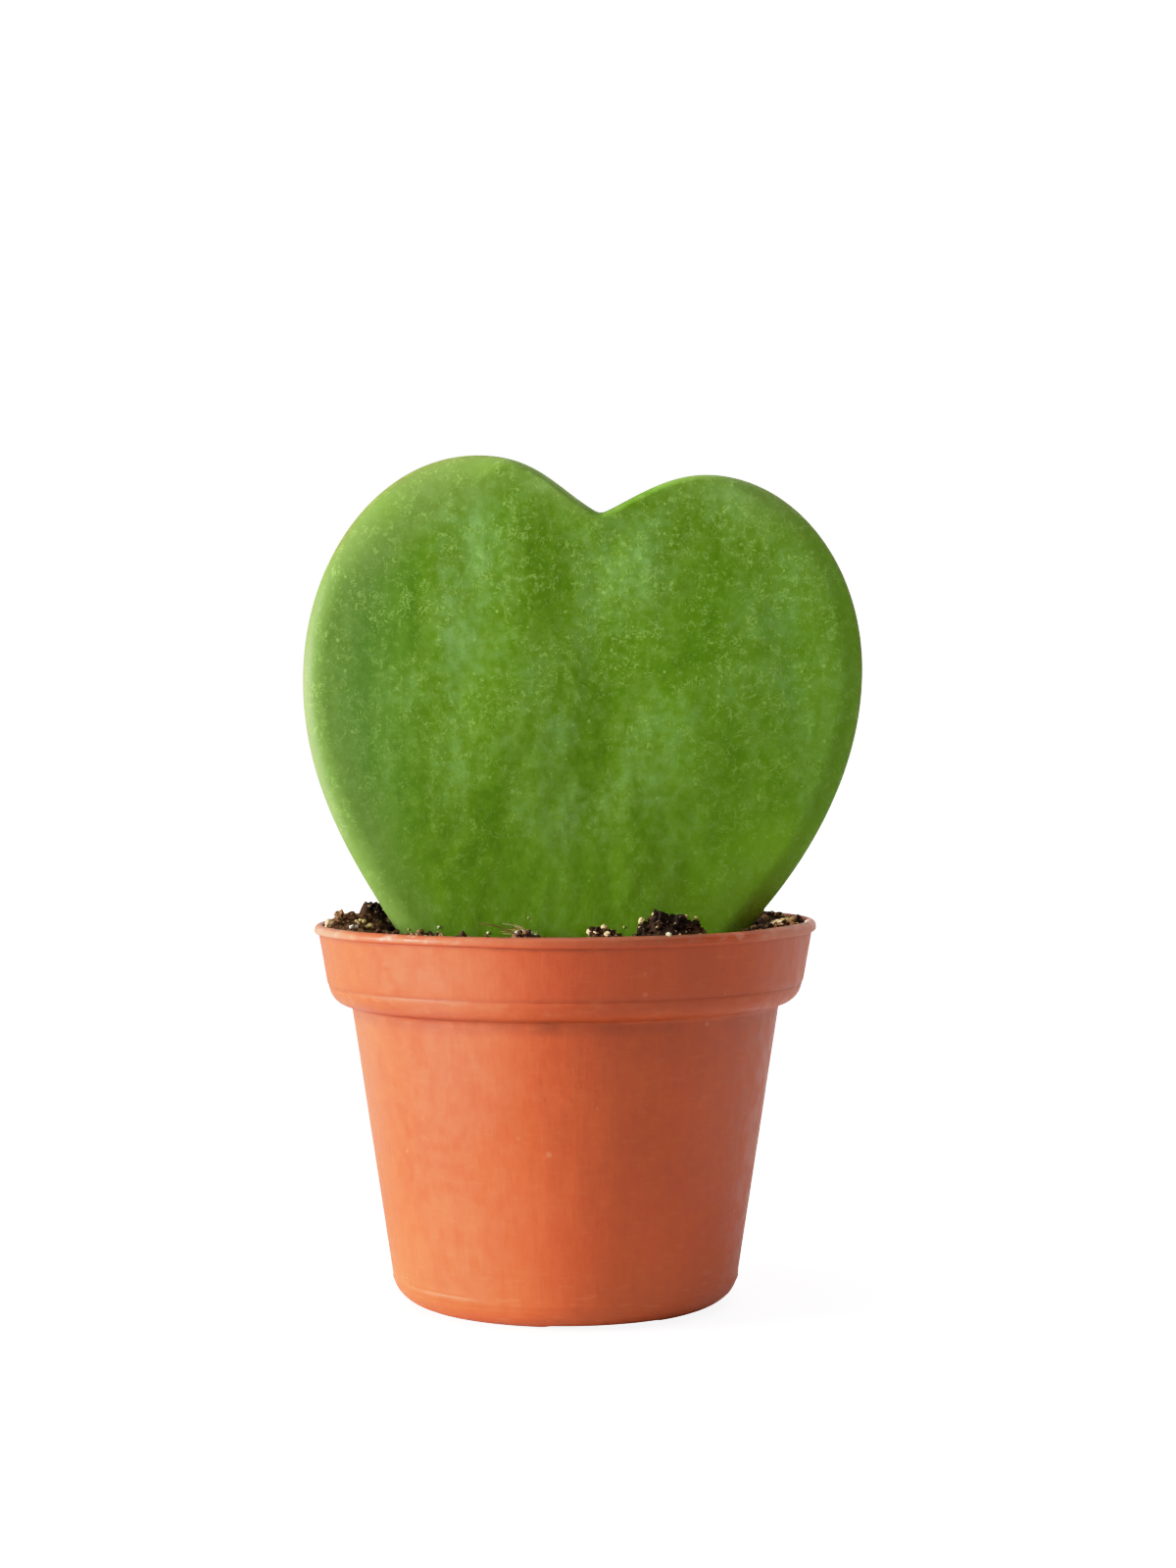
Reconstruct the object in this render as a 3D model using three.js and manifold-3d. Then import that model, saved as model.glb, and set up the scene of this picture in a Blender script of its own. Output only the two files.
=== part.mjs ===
// A single heart-shaped hoya leaf rooted in a small round nursery pot filled with soil.
// Millimetres, +Z up. The origin is the middle of the foot, on the surface that the pot stands on.
// The leaf faces -Y, and +X is to its right.
import * as THREE from 'three';
import { mergeVertices } from 'three/addons/utils/BufferGeometryUtils.js';
import Module from 'manifold-3d';

const wasm = await Module();
wasm.setup();

// Pot
const POT_HEIGHT = 45.4;
const RIM_RADIUS = 30;
const LIP_HEIGHT = 1.3;
const LIP_OVERHANG = 0.5;
const COLLAR_FLARE = 0.18; // radius gained per millimetre of height
const GROOVE_Z = 38.1;
const GROOVE_HALF_HEIGHT = 0.25;
const GROOVE_DEPTH = 0.28;
const BEAD_SET_IN = 0.15; // how far the bead under the groove lies inside the collar's line
const STEP_Z = 35.4; // underside of the collar's shoulder
const STEP_FILLET = 1.3;
const STEP_RISE = 0.1;
const SHOULDER_ROUND = 0.7;
const BODY_TOP_RADIUS = 25.45;
const BODY_FLARE = 0.152; // radius gained per millimetre of height
const HEEL_HEIGHT = 3.8;
const FOOT_RADIUS = 16.6;
const FOOT_RING_WIDTH = 2.2;
const PAD_RADIUS = 5.5;
const CHANNEL_HEIGHT = 0.8;
const CHANNEL_SLOPE = 1.2;
const WALL = 0.75;
const LIP_EDGE_RADIUS = 0.3;
const POT_SIDES = 56;
const DRAIN_HOLES = 6;
const DRAIN_RADIUS = 2.2;
const NOTCHES = 4;
const NOTCH_WIDTH = 13;
const NOTCH_HEIGHT = 0.4;
const NOTCH_REACH = 8;
const FIRST_NOTCH_ANGLE = -1.3; // radians from +X, just right of the front

// Soil
const SEAT = 0.3; // clearance between pieces that touch
const SOIL_LEVEL = 42.4;
const SOIL_SIDES = 48;
const SOIL_TOP_RINGS = 12;
const LUMP_HEIGHT = 0.7;
const RIM_FADE = 0.3; // share of the relief that is lost at the pot's wall
// Each mound of soil is x, y, height above the level and spread
const MOUNDS = [
  [-24, 2, 4.4, 5.2],
  [-19, -9, 1.2, 6],
  [11.3, -10, 3.2, 2.8],
  [26, 4, 2.2, 6.5],
  [20, -8, 1.5, 5],
  [4, 16, 1.7, 9],
  [-14, 15, 1.9, 6],
];
const CRUMBS = 84;
const CRUMB_SMALLEST = 0.8;
const CRUMB_LARGEST = 2.4;
const CRUMB_LIFT = 0.15; // share of its size by which a crumb's middle lies above the surface
const CRUMB_FIELD_RADIUS = 26;
const SOIL_SEED = 41;

// Leaf
const OUTLINE_STEP = 3;
const NOTCH = new THREE.Vector2(4.2, 94);
const LEFT_TOP = new THREE.Vector2(-10.6, 101.05);
const RIGHT_TOP = new THREE.Vector2(16.9, 98.7);
const LEFT_SIDE = new THREE.Vector2(-31.65, 74.1);
const RIGHT_SIDE = new THREE.Vector2(35.6, 75.4);
const BLADE_BASE = new THREE.Vector2(1.6, 23);
const BLADE_CENTRE = new THREE.Vector2(2.2, 72);
const BLADE_THICKNESS = 4.3;
const BLADE_CUP = 1.6; // how far the side margins bend back
const MARGIN_RINGS = 4;
const INNER_RINGS = 5;
const MIDRIB_DEPTH = 0.3;
const MIDRIB_WIDTH = 3;
const SWELL_HEIGHT = 0.3;
const STALK_RADIUS = 2;
const STALK_TAPER = 0.8;
const STALK_LENGTH = 8;
const STALK_OVERLAP = 1.5; // how far the stalk runs up into the blade
const ROOTS = 5;
const ROOT_RADIUS = 0.7;
// Each bend of a root is its reach from the stalk and its drop
const ROOT_BENDS = [[0, 0], [3.2, 2.4], [6.8, 4], [9, 8]];
const ROOT_TURN = 0.5; // radians from +X to the first root

const potMaterial = new THREE.MeshStandardMaterial({ color: 0xc8603a, roughness: 0.5, metalness: 0 });
const soilMaterial = new THREE.MeshStandardMaterial({ color: 0x2a1c12, roughness: 0.95, metalness: 0 });
const leafMaterial = new THREE.MeshStandardMaterial({ color: 0x5a8f32, roughness: 0.45, metalness: 0 });

// A closed solid from a geometry, with shared corners joined and slivers dropped
function solidOf(geometry) {
  geometry.deleteAttribute('normal');
  geometry.deleteAttribute('uv');
  const welded = mergeVertices(geometry, 1e-4);
  const corners = welded.index.array;
  const triangles = [];
  for (let i = 0; i < corners.length; i += 3) {
    const [a, b, c] = corners.subarray(i, i + 3);
    if (a !== b && b !== c && c !== a) triangles.push(a, b, c);
  }
  const vertProperties = Float32Array.from(welded.attributes.position.array);
  const triVerts = Uint32Array.from(triangles);
  return new wasm.Manifold(new wasm.Mesh({ numProp: 3, vertProperties, triVerts }));
}

function meshOf(solid, name, material) {
  const { vertProperties, triVerts } = solid.getMesh();
  const geometry = new THREE.BufferGeometry();
  geometry.setAttribute('position', new THREE.BufferAttribute(vertProperties, 3));
  geometry.setIndex(new THREE.BufferAttribute(triVerts, 1));
  geometry.computeVertexNormals();
  const mesh = new THREE.Mesh(geometry, material);
  mesh.name = name;
  return mesh;
}

// Repeatable draws from 0 to 1
function seededDraws(seed) {
  let state = seed;
  return () => {
    state = (state * 1664525 + 1013904223) % 4294967296;
    return state / 4294967296;
  };
}

// Turns a section of radius against height about the Z axis
function revolve(points, sides) {
  return new THREE.LatheGeometry(points, sides).rotateX(Math.PI / 2);
}

// The pot's outside, shifted inwards by an inset for its inside and again for the soil
const collarRadius = (z) => RIM_RADIUS - LIP_OVERHANG - COLLAR_FLARE * (POT_HEIGHT - LIP_HEIGHT - z);
const bodyRadius = (z) => BODY_TOP_RADIUS - BODY_FLARE * (STEP_Z - z);

// The wall's outline from the heel up to a height on the collar
function wallOutline(inset, topZ) {
  const heelRadius = bodyRadius(HEEL_HEIGHT) - inset;
  const stepZ = STEP_Z + inset;
  const bodyTop = BODY_TOP_RADIUS - inset;
  const beadRadius = collarRadius(GROOVE_Z) - BEAD_SET_IN - inset;
  const beadZ = GROOVE_Z - GROOVE_HALF_HEIGHT;
  const outline = new THREE.Path();
  outline.moveTo(FOOT_RADIUS, inset);
  outline.absellipse(
    FOOT_RADIUS, HEEL_HEIGHT, heelRadius - FOOT_RADIUS, HEEL_HEIGHT - inset, -Math.PI / 2, 0, false);
  outline.lineTo(bodyRadius(stepZ - STEP_FILLET) - inset, stepZ - STEP_FILLET);
  outline.quadraticCurveTo(bodyTop, stepZ, bodyTop + STEP_FILLET / 2, stepZ + STEP_RISE);
  outline.quadraticCurveTo(beadRadius - SHOULDER_ROUND, stepZ + SHOULDER_ROUND, beadRadius, beadZ);
  outline.lineTo(collarRadius(topZ) - inset, topZ);
  return outline;
}

function potSection() {
  const collarTop = POT_HEIGHT - LIP_HEIGHT;
  const section = new THREE.Path();
  section.moveTo(0, 0);
  section.lineTo(PAD_RADIUS, 0);
  section.lineTo(PAD_RADIUS + CHANNEL_SLOPE, CHANNEL_HEIGHT);
  section.lineTo(FOOT_RADIUS - FOOT_RING_WIDTH - CHANNEL_SLOPE, CHANNEL_HEIGHT);
  section.lineTo(FOOT_RADIUS - FOOT_RING_WIDTH, 0);
  const underside = section.getPoints(1);

  const outside = wallOutline(0, GROOVE_Z + GROOVE_HALF_HEIGHT).getPoints(3);
  outside.splice(-1, 0, new THREE.Vector2(collarRadius(GROOVE_Z) - GROOVE_DEPTH, GROOVE_Z));

  const lip = new THREE.Path();
  const lipRound = LIP_HEIGHT / 2;
  lip.moveTo(collarRadius(collarTop), collarTop);
  lip.absarc(RIM_RADIUS - lipRound, POT_HEIGHT - lipRound, lipRound, -Math.PI / 3, Math.PI / 2, false);
  const edgeRadius = collarRadius(POT_HEIGHT) - WALL + LIP_EDGE_RADIUS;
  lip.absarc(edgeRadius, POT_HEIGHT - LIP_EDGE_RADIUS, LIP_EDGE_RADIUS, Math.PI / 2, Math.PI, false);

  const inside = wallOutline(WALL, collarTop).getPoints(2).reverse();
  const floor = underside.map((point) => new THREE.Vector2(point.x, point.y + WALL)).reverse();
  return [...underside, ...outside, ...lip.getPoints(2), ...inside, ...floor];
}

function drainHole(angle) {
  const ringMiddle = (PAD_RADIUS + FOOT_RADIUS - FOOT_RING_WIDTH) / 2;
  const hole = new THREE.CylinderGeometry(DRAIN_RADIUS, DRAIN_RADIUS, 4 * WALL, 16);
  hole.rotateX(Math.PI / 2);
  hole.translate(ringMiddle * Math.cos(angle), ringMiddle * Math.sin(angle), CHANNEL_HEIGHT + WALL / 2);
  return solidOf(hole);
}

function footNotch(angle) {
  const notch = new THREE.BoxGeometry(NOTCH_REACH, NOTCH_WIDTH, 2 * NOTCH_HEIGHT);
  notch.translate(FOOT_RADIUS, 0, 0);
  notch.rotateZ(angle);
  return solidOf(notch);
}

function makePot() {
  let pot = solidOf(revolve(potSection(), POT_SIDES));
  for (let i = 0; i < DRAIN_HOLES; i += 1) {
    pot = pot.subtract(drainHole((i + 0.5) * 2 * Math.PI / DRAIN_HOLES));
  }
  for (let i = 0; i < NOTCHES; i += 1) {
    pot = pot.subtract(footNotch(FIRST_NOTCH_ANGLE + i * 2 * Math.PI / NOTCHES));
  }
  return pot;
}

// The heart's edge as seen from the front, in x and z, starting at the notch
function heartOutline() {
  const heart = new THREE.Path();
  heart.moveTo(NOTCH.x, NOTCH.y);
  heart.bezierCurveTo(-0.7, 96.65, -3.1, LEFT_TOP.y, LEFT_TOP.x, LEFT_TOP.y);
  heart.bezierCurveTo(-22.4, LEFT_TOP.y, LEFT_SIDE.x, 88.7, LEFT_SIDE.x, LEFT_SIDE.y);
  heart.bezierCurveTo(LEFT_SIDE.x, 61.5, -25.6, 52.3, -20.6, 44.5);
  heart.bezierCurveTo(-14.8, 35.4, -8, 29, BLADE_BASE.x - 3.4, BLADE_BASE.y + 2);
  heart.quadraticCurveTo(BLADE_BASE.x - 2, BLADE_BASE.y, BLADE_BASE.x, BLADE_BASE.y);
  heart.quadraticCurveTo(BLADE_BASE.x + 2, BLADE_BASE.y, BLADE_BASE.x + 3.4, BLADE_BASE.y + 2);
  heart.bezierCurveTo(10.5, 30, 17, 37.8, 23.8, 46.5);
  heart.bezierCurveTo(28.2, 51.6, RIGHT_SIDE.x, 62.3, RIGHT_SIDE.x, RIGHT_SIDE.y);
  heart.bezierCurveTo(RIGHT_SIDE.x, 88.45, 27.2, RIGHT_TOP.y, RIGHT_TOP.x, RIGHT_TOP.y);
  heart.bezierCurveTo(11.9, RIGHT_TOP.y, 8, 95.75, NOTCH.x, NOTCH.y);
  return heart.curves.flatMap((curve) => {
    const steps = Math.max(2, Math.round(curve.getLength() / OUTLINE_STEP));
    return curve.getSpacedPoints(steps).slice(0, -1);
  });
}

// Middle of the blade's thickness, bent back at the sides
function bladeMiddle(x) {
  const halfWidth = (RIGHT_SIDE.x - LEFT_SIDE.x) / 2;
  return BLADE_CUP * ((x - BLADE_CENTRE.x) / halfWidth) ** 2;
}

// Two broad swells beside a shallow midrib
function bladeRelief(x, z) {
  const fade = THREE.MathUtils.smoothstep(z, BLADE_BASE.y + 10, BLADE_CENTRE.y);
  const midrib = Math.exp(-(((x - NOTCH.x) / MIDRIB_WIDTH) ** 2));
  const swell = Math.cos((x - NOTCH.x) * 0.22);
  return fade * (-MIDRIB_DEPTH * midrib - SWELL_HEIGHT * 0.5 * (1 + swell));
}

// The blade, grown all round by a clearance when it cuts its own hole in the soil
function blade(grow) {
  const outline = heartOutline();
  const count = outline.length;
  const outward = outline.map((point, i) => {
    const before = outline[(i + count - 1) % count];
    const after = outline[(i + 1) % count];
    const along = after.clone().sub(before).normalize();
    return new THREE.Vector2(along.y, -along.x);
  });
  const round = BLADE_THICKNESS / 2 + grow;
  const rings = [];
  for (let k = 0; k <= MARGIN_RINGS; k += 1) {
    const turn = (k / MARGIN_RINGS) * Math.PI / 2;
    const inset = round * (1 - Math.cos(turn)) - grow;
    const points = outline.map((point, i) => point.clone().addScaledVector(outward[i], -inset));
    rings.push({ points, half: round * Math.sin(turn), inner: false });
  }
  const rim = rings[MARGIN_RINGS].points;
  for (let k = 1; k < INNER_RINGS; k += 1) {
    const points = rim.map((point) => point.clone().lerp(BLADE_CENTRE, k / INNER_RINGS));
    rings.push({ points, half: round, inner: true });
  }

  const vertices = [];
  const triangles = [];
  const put = (point, side, half, inner) => {
    const relief = inner ? bladeRelief(point.x, point.y) : 0;
    vertices.push(point.x, bladeMiddle(point.x) + side * (half + relief), point.y);
  };
  for (const side of [-1, 1]) {
    const start = vertices.length / 3;
    for (const ring of rings) {
      for (const point of ring.points) put(point, side, ring.half, ring.inner);
    }
    put(BLADE_CENTRE, side, round, true);
    const centre = vertices.length / 3 - 1;
    for (let k = 0; k < rings.length; k += 1) {
      for (let i = 0; i < count; i += 1) {
        const j = (i + 1) % count;
        const a = start + k * count + i;
        const b = start + k * count + j;
        const last = k === rings.length - 1;
        const c = last ? centre : a + count;
        const d = b + count;
        const faces = last ? [[a, b, c]] : [[a, b, c], [b, d, c]];
        for (const [p, q, r] of faces) triangles.push(...(side < 0 ? [p, q, r] : [p, r, q]));
      }
    }
  }
  const geometry = new THREE.BufferGeometry();
  geometry.setAttribute('position', new THREE.Float32BufferAttribute(vertices, 3));
  geometry.setIndex(triangles);
  return solidOf(geometry);
}

function stalk(grow) {
  const length = STALK_LENGTH + grow;
  const bottomRadius = STALK_RADIUS * STALK_TAPER + grow;
  const geometry = new THREE.CylinderGeometry(STALK_RADIUS + grow, bottomRadius, length, 14);
  geometry.rotateX(Math.PI / 2);
  geometry.translate(BLADE_BASE.x, 0, BLADE_BASE.y + STALK_OVERLAP - length / 2);
  return solidOf(geometry);
}

function root(index, grow) {
  const angle = (index / ROOTS) * 2 * Math.PI + ROOT_TURN;
  const top = BLADE_BASE.y + STALK_OVERLAP - STALK_LENGTH + STALK_RADIUS;
  const points = ROOT_BENDS.map(([reach, drop]) => new THREE.Vector3(
    BLADE_BASE.x + reach * Math.cos(angle), reach * Math.sin(angle), top - drop));
  const tip = points.at(-1);
  tip.addScaledVector(tip.clone().sub(points.at(-2)).normalize(), grow);
  const section = new THREE.Shape();
  section.absarc(0, 0, ROOT_RADIUS + grow, 0, 2 * Math.PI, false);
  const extrudePath = new THREE.CatmullRomCurve3(points);
  return solidOf(new THREE.ExtrudeGeometry(section, { steps: 6, curveSegments: 3, extrudePath }));
}

function makeLeaf(grow) {
  let leaf = blade(grow).add(stalk(grow));
  for (let i = 0; i < ROOTS; i += 1) leaf = leaf.add(root(i, grow));
  return leaf;
}

// How far the soil's surface stands above its level
function soilRelief(x, y) {
  let height = 0;
  for (const [mx, my, rise, spread] of MOUNDS) {
    height += rise * Math.exp(-((x - mx) ** 2 + (y - my) ** 2) / (spread * spread));
  }
  return height * (1 - RIM_FADE * THREE.MathUtils.smoothstep(Math.hypot(x, y), 24, 28));
}

// The filling, with its top raised in lumps and its edge kept against the wall
function soilBody(draw) {
  const inset = WALL + SEAT;
  const floor = CHANNEL_HEIGHT + WALL + SEAT;
  const edge = collarRadius(SOIL_LEVEL) - inset;
  const points = [new THREE.Vector2(0, floor), new THREE.Vector2(FOOT_RADIUS - FOOT_RING_WIDTH, floor)];
  const wall = wallOutline(inset, SOIL_LEVEL).getPoints(2);
  points.push(...wall.filter((point) => point.y > floor));
  for (let k = SOIL_TOP_RINGS - 1; k >= 0; k -= 1) {
    points.push(new THREE.Vector2(edge * k / SOIL_TOP_RINGS, SOIL_LEVEL));
  }
  const geometry = revolve(points, SOIL_SIDES);
  geometry.deleteAttribute('normal');
  geometry.deleteAttribute('uv');
  const welded = mergeVertices(geometry, 1e-4);
  const position = welded.attributes.position;
  for (let i = 0; i < position.count; i += 1) {
    const x = position.getX(i);
    const y = position.getY(i);
    if (position.getZ(i) < SOIL_LEVEL - 1e-3) continue;
    const height = SOIL_LEVEL + soilRelief(x, y) + LUMP_HEIGHT * draw();
    const spread = (collarRadius(height) - inset) / edge;
    position.setXYZ(i, x * spread, y * spread, height);
  }
  return solidOf(welded);
}

// A rough lump sunk half into the surface
function crumb(draw) {
  const size = CRUMB_SMALLEST + (CRUMB_LARGEST - CRUMB_SMALLEST) * draw() ** 2;
  const angle = draw() * 2 * Math.PI;
  const reach = CRUMB_FIELD_RADIUS * Math.sqrt(draw());
  const x = reach * Math.cos(angle);
  const y = reach * Math.sin(angle);
  const lump = new THREE.OctahedronGeometry(size, 0);
  lump.scale(1, 0.7 + 0.5 * draw(), 0.8 + 0.3 * draw());
  lump.rotateX(2 * draw());
  lump.rotateZ(draw() * Math.PI);
  lump.translate(x, y, SOIL_LEVEL + soilRelief(x, y) + LUMP_HEIGHT / 2 + CRUMB_LIFT * size);
  return solidOf(lump);
}

function makeSoil() {
  const draw = seededDraws(SOIL_SEED);
  let soil = soilBody(draw);
  for (let i = 0; i < CRUMBS; i += 1) soil = soil.add(crumb(draw));
  const bodies = soil.subtract(makeLeaf(SEAT)).decompose();
  bodies.sort((a, b) => b.volume() - a.volume());
  return bodies[0];
}

const plant = new THREE.Group();
plant.add(meshOf(makePot(), 'pot', potMaterial));
plant.add(meshOf(makeSoil(), 'soil', soilMaterial));
plant.add(meshOf(makeLeaf(0), 'leaf', leafMaterial));

export default plant;
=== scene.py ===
"""A single heart-shaped hoya leaf rooted in a small terracotta-coloured nursery pot.

Lengths in the shape functions are millimetres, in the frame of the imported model: +Z up, the leaf
facing -Y, and the origin in the middle of the pot's foot. Meshes are made in metres.
"""
import math
import random

import bmesh
import bpy
from mathutils import Matrix, Vector, noise
from mathutils.bvhtree import BVHTree


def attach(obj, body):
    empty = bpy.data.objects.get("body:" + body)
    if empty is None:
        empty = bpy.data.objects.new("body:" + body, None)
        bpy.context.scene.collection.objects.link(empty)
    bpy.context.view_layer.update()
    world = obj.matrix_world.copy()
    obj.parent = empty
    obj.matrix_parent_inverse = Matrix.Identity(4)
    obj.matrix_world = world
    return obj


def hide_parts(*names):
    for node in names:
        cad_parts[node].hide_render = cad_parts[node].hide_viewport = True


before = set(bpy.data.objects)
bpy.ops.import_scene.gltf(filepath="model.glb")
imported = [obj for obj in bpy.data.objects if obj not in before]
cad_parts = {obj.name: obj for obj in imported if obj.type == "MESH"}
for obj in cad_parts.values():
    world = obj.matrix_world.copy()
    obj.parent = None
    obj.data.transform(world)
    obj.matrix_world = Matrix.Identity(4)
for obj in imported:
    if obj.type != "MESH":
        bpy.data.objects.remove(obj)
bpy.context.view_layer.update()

MM = 0.001

# Pot
POT_HEIGHT = 45.4
RIM_RADIUS = 30.0
LIP_HEIGHT = 1.3
LIP_OVERHANG = 0.5
COLLAR_FLARE = 0.18
GROOVE_Z = 38.1
GROOVE_HALF_HEIGHT = 0.28
GROOVE_DEPTH = 0.28
BEAD_SET_IN = 0.15
STEP_Z = 35.4
STEP_FILLET = 0.5
STEP_RISE = 0.1
SHOULDER_ROUND = 0.45
BODY_TOP_RADIUS = 25.55
BODY_FLARE = 0.152
HEEL_HEIGHT = 3.8
FOOT_RADIUS = 16.6
FOOT_RING_WIDTH = 2.2
PAD_RADIUS = 5.5
CHANNEL_HEIGHT = 0.8
CHANNEL_SLOPE = 1.2
WALL = 0.75
LIP_EDGE_RADIUS = 0.3
LIP_CORNER = 0.38
LIP_TOP_ROUND = 0.65
POT_SIDES = 288
SECTION_STEP = 0.7
HEEL_STEP = 0.12
DRAIN_HOLES = 6
DRAIN_RADIUS = 2.2
DRAIN_SIDES = 48
DRAIN_CUT = (-1, 3)
NOTCHES = 4
NOTCH_WIDTH = 13.0
NOTCH_HEIGHT = 0.4
NOTCH_SOFTNESS = 0.1  # how gently its ends rise, as a share of its width
FIRST_NOTCH_ANGLE = -1.3
# The wall's unevenness: its height, how it changes round the pot and upwards, and how much is left low down
LIP_WOBBLE = 0.05
WOBBLE_TURNS = 3
WOBBLE_RISE = 0.12
WOBBLE_MIDDLE = 0.45
LOW_WOBBLE = 0.35
WOBBLE_GROWS = (38, 44)
COLLAR_LEAN = 0.17
LIP_SAG = 0.2
# Moulding lines round the heel: height, where they break, and how far they stand out or in
HEEL_LINES = [(1.5, 0.0, 0.06), (2.45, 3.0, -0.09), (2.95, 7.0, 0.08), (3.45, 5.0, -0.07)]
HEEL_LINE_WIDTH = 0.15
HEEL_LINE_TURNS = 2.5
HEEL_LINE_COVER = 0.3  # more than 0 leaves shorter gaps in the lines
# Painted shade in the recesses under the lip, in the groove and under the shoulder: lowest and highest
# height, how far it fades below and above them, and strength
PAINTED_SHADE_LINES = [(43.95, 44.05, 0.35, 0.3, 0.5), (38.0, 38.15, 0.3, 0.35, 0.3), (34.9, 35.7, 1.5, 0.4, 0.5)]
# How the lip's sag starts at the left, and ends at the right, from x to x
SAG_LEFT = (-12, -1)
SAG_RIGHT = (26, 19)
# Zones of pale dust and painted sheen at the pot's sides: where each starts and is full across and upwards,
# and strength
WALL_DUST_AND_SHEEN = [(12, 20, 8, 18, 0.06), (-18, -24, 10, 22, 0.085)]
COLLAR_START = (35.5, 37.5)
COLLAR_DUST_AND_SHEEN = [(19, 26, *COLLAR_START, 0.11), (-20, -27, *COLLAR_START, 0.02)]
LIP_DUST_AND_SHEEN = [(-22, -28, 44, 44.6, 0.4), (18, 26, 44, 44.6, 0.28)]
# Patches of the same dust and painted sheen: x, height, half width, half height and strength
DUST_AND_SHEEN_PATCHES = [
    (-12.0, 41.0, 8.0, 5.0, 0.075), (-14.5, 36.9, 4.5, 1.1, 0.06), (-10.0, 30.0, 5.5, 8.0, 0.08),
    (-7.0, 12.0, 8.0, 7.0, 0.045), (23.0, 33.0, 2.5, 4.0, 0.06),
]
# Patches where the plastic is lighter or (below 0) deeper in colour, in the same order
PLASTIC_PATCHES = [
    (15.0, 41.0, 5.0, 5.0, -0.14), (13.0, 36.9, 8.0, 1.3, -0.16), (11.0, 33.0, 8.0, 4.0, -0.16),
    (-3.5, 24.0, 4.0, 8.0, -0.12), (6.0, 9.0, 10.0, 8.0, 0.33), (-15.0, 5.0, 5.0, 4.0, -0.12),
]

# Soil
SOIL_LEVEL = 42.4
SOIL_FLOOR = 1.85
SOIL_EDGE_GAP = 0.12
SURFACE_DROP = 0.1
SOIL_SIDES = 260
SOIL_RINGS = 92
RIM_FADE = 0.15
RIM_FADE_REACH = (24, 28)
# Mounds and heaps of soil: x, y, height and spread
FRONT_MOUND = (11.6, -8, 3.0, 2.7)
MOUNDS = [
    (-25.0, 3, 2.3, 4.2), (-19, -9, 1.2, 6), FRONT_MOUND, (22, 12, 2.7, 6.5),
    (-20, 10, 3.0, 5.0), (20, -8, 0.9, 5), (4, 16, 1.7, 9), (-14, 15, 1.9, 6),
]
# Small heaps against the foot of the leaf and against the rim
HEAPS = [
    (-23.5, 3.0, 2.35, 1.0), (-22.0, 3.2, 1.9, 1.1), (-23.9, -0.3, 0.8, 1.2), (-27.0, 2.4, 0.5, 1.2),
    (-27.9, 1.3, 0.4, 1.1), (-5.0, -5.0, 0.9, 1.9), (4.4, -5.5, 1.3, 1.7), (-17.5, -4.5, 0.4, 2.2),
    (-26.4, -1.0, 1.7, 3.0), (-28.8, -0.5, 1.6, 2.4), (-27.6, 4.0, 1.6, 2.2), (26.3, -0.8, 2.5, 3.2),
    (28.2, 1.2, 1.4, 1.7), (26.9, 6.6, 2.45, 4.2), (23.5, 9.5, 0.5, 2.5), (22.4, -5.5, 1.1, 2.6),
    (15.6, -8.0, 0.5, 1.6), (14.8, -7.7, 1.5, 1.3),
]
# A low bank of soil along the front of the leaf: height, y, width, and reach to each side, where it fades
BANK = (0.75, -4.6, 2.2, 20.0)
BANK_FADE = 5
# The soil's own unevenness: how fast it changes across, how high it is, and which pattern of noise
SWELLS = (0.35, 0.35, 4.0)
LUMPS = (1.3, 0.5, 7.0)
FINE_LUMPS = (3.1, 0.25, 2.0)
BED_TINT = 0.45  # the palest tint of the soil bed itself
# The paler, browner soil at the left, painted light where light from the left falls on it: where it starts
# and is full across, and at its front and its back
LIT_LEFT_ACROSS = (-16.5, -20.5)
LIT_LEFT_FRONT = (-14, -10)
LIT_LEFT_BACK = (2.2, 1.2)
LIT_LEFT_PALENESS = 0.38
# How dark the painted shade among the lumps of the front mound is, and where it ends, in spreads of the mound
FRONT_MOUND_SHADE = 0.6
FRONT_SHADE_REACH = (1.6, 1.1)
# The strips beside the leaf where the photograph shows each pale piece: in y, and beyond an x at the sides
FRONT_STRIP = (-12, 0)
SIDE_STRIP = (-12, 9)
SIDE_STRIP_X = 20
WALL_SHARE = 0.8  # how far a lump's middle stays from the wall, as a share of its radius
SOIL_SEED = 23
CRUMBS = 8200
# The smallest crumb's radius, how much larger the largest one is, and how rare the large ones are
CRUMB_RADIUS = 0.16
CRUMB_SPREAD = 0.36
CRUMB_RARITY = 2.4
DARK_CRUMBS = 0.4  # share of the crumbs that are dark
TAN_CRUMBS = 0.18  # share of the crumbs that are tan, and the others are brown
CLODS = 120
CLOD_RADII = (0.4, 0.85)
CLOD_MOUNDS = [1, 2, 3, 5, 6, 7]  # places in the list of mounds
CLODS_ON_MOUNDS = 0.55
CLOD_SPREAD = 0.45
GRANULES = 110
GRANULE_RADII = (0.22, 0.6)
GRANULE_TINTS = [0.0, 0.1, 0.3, 0.5, 0.9, 1.0]
CHIPS = 40
CHIP_HALF_LENGTHS = (0.7, 1.7)
CHIP_LIFT = 0.45
SEEN_CHIP_LIFT = 0.55
FIBRES = 22
FIBRE_REACH = 27
FIBRE_STEP = 0.75
FIBRE_LIFT = 0.35
WISPS = 30
WISP_FOOT = (-4.6, -4.2, 43.6)
PRESS = 0.06  # how deep the lowest side of a loose grain lies in the soil

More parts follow.
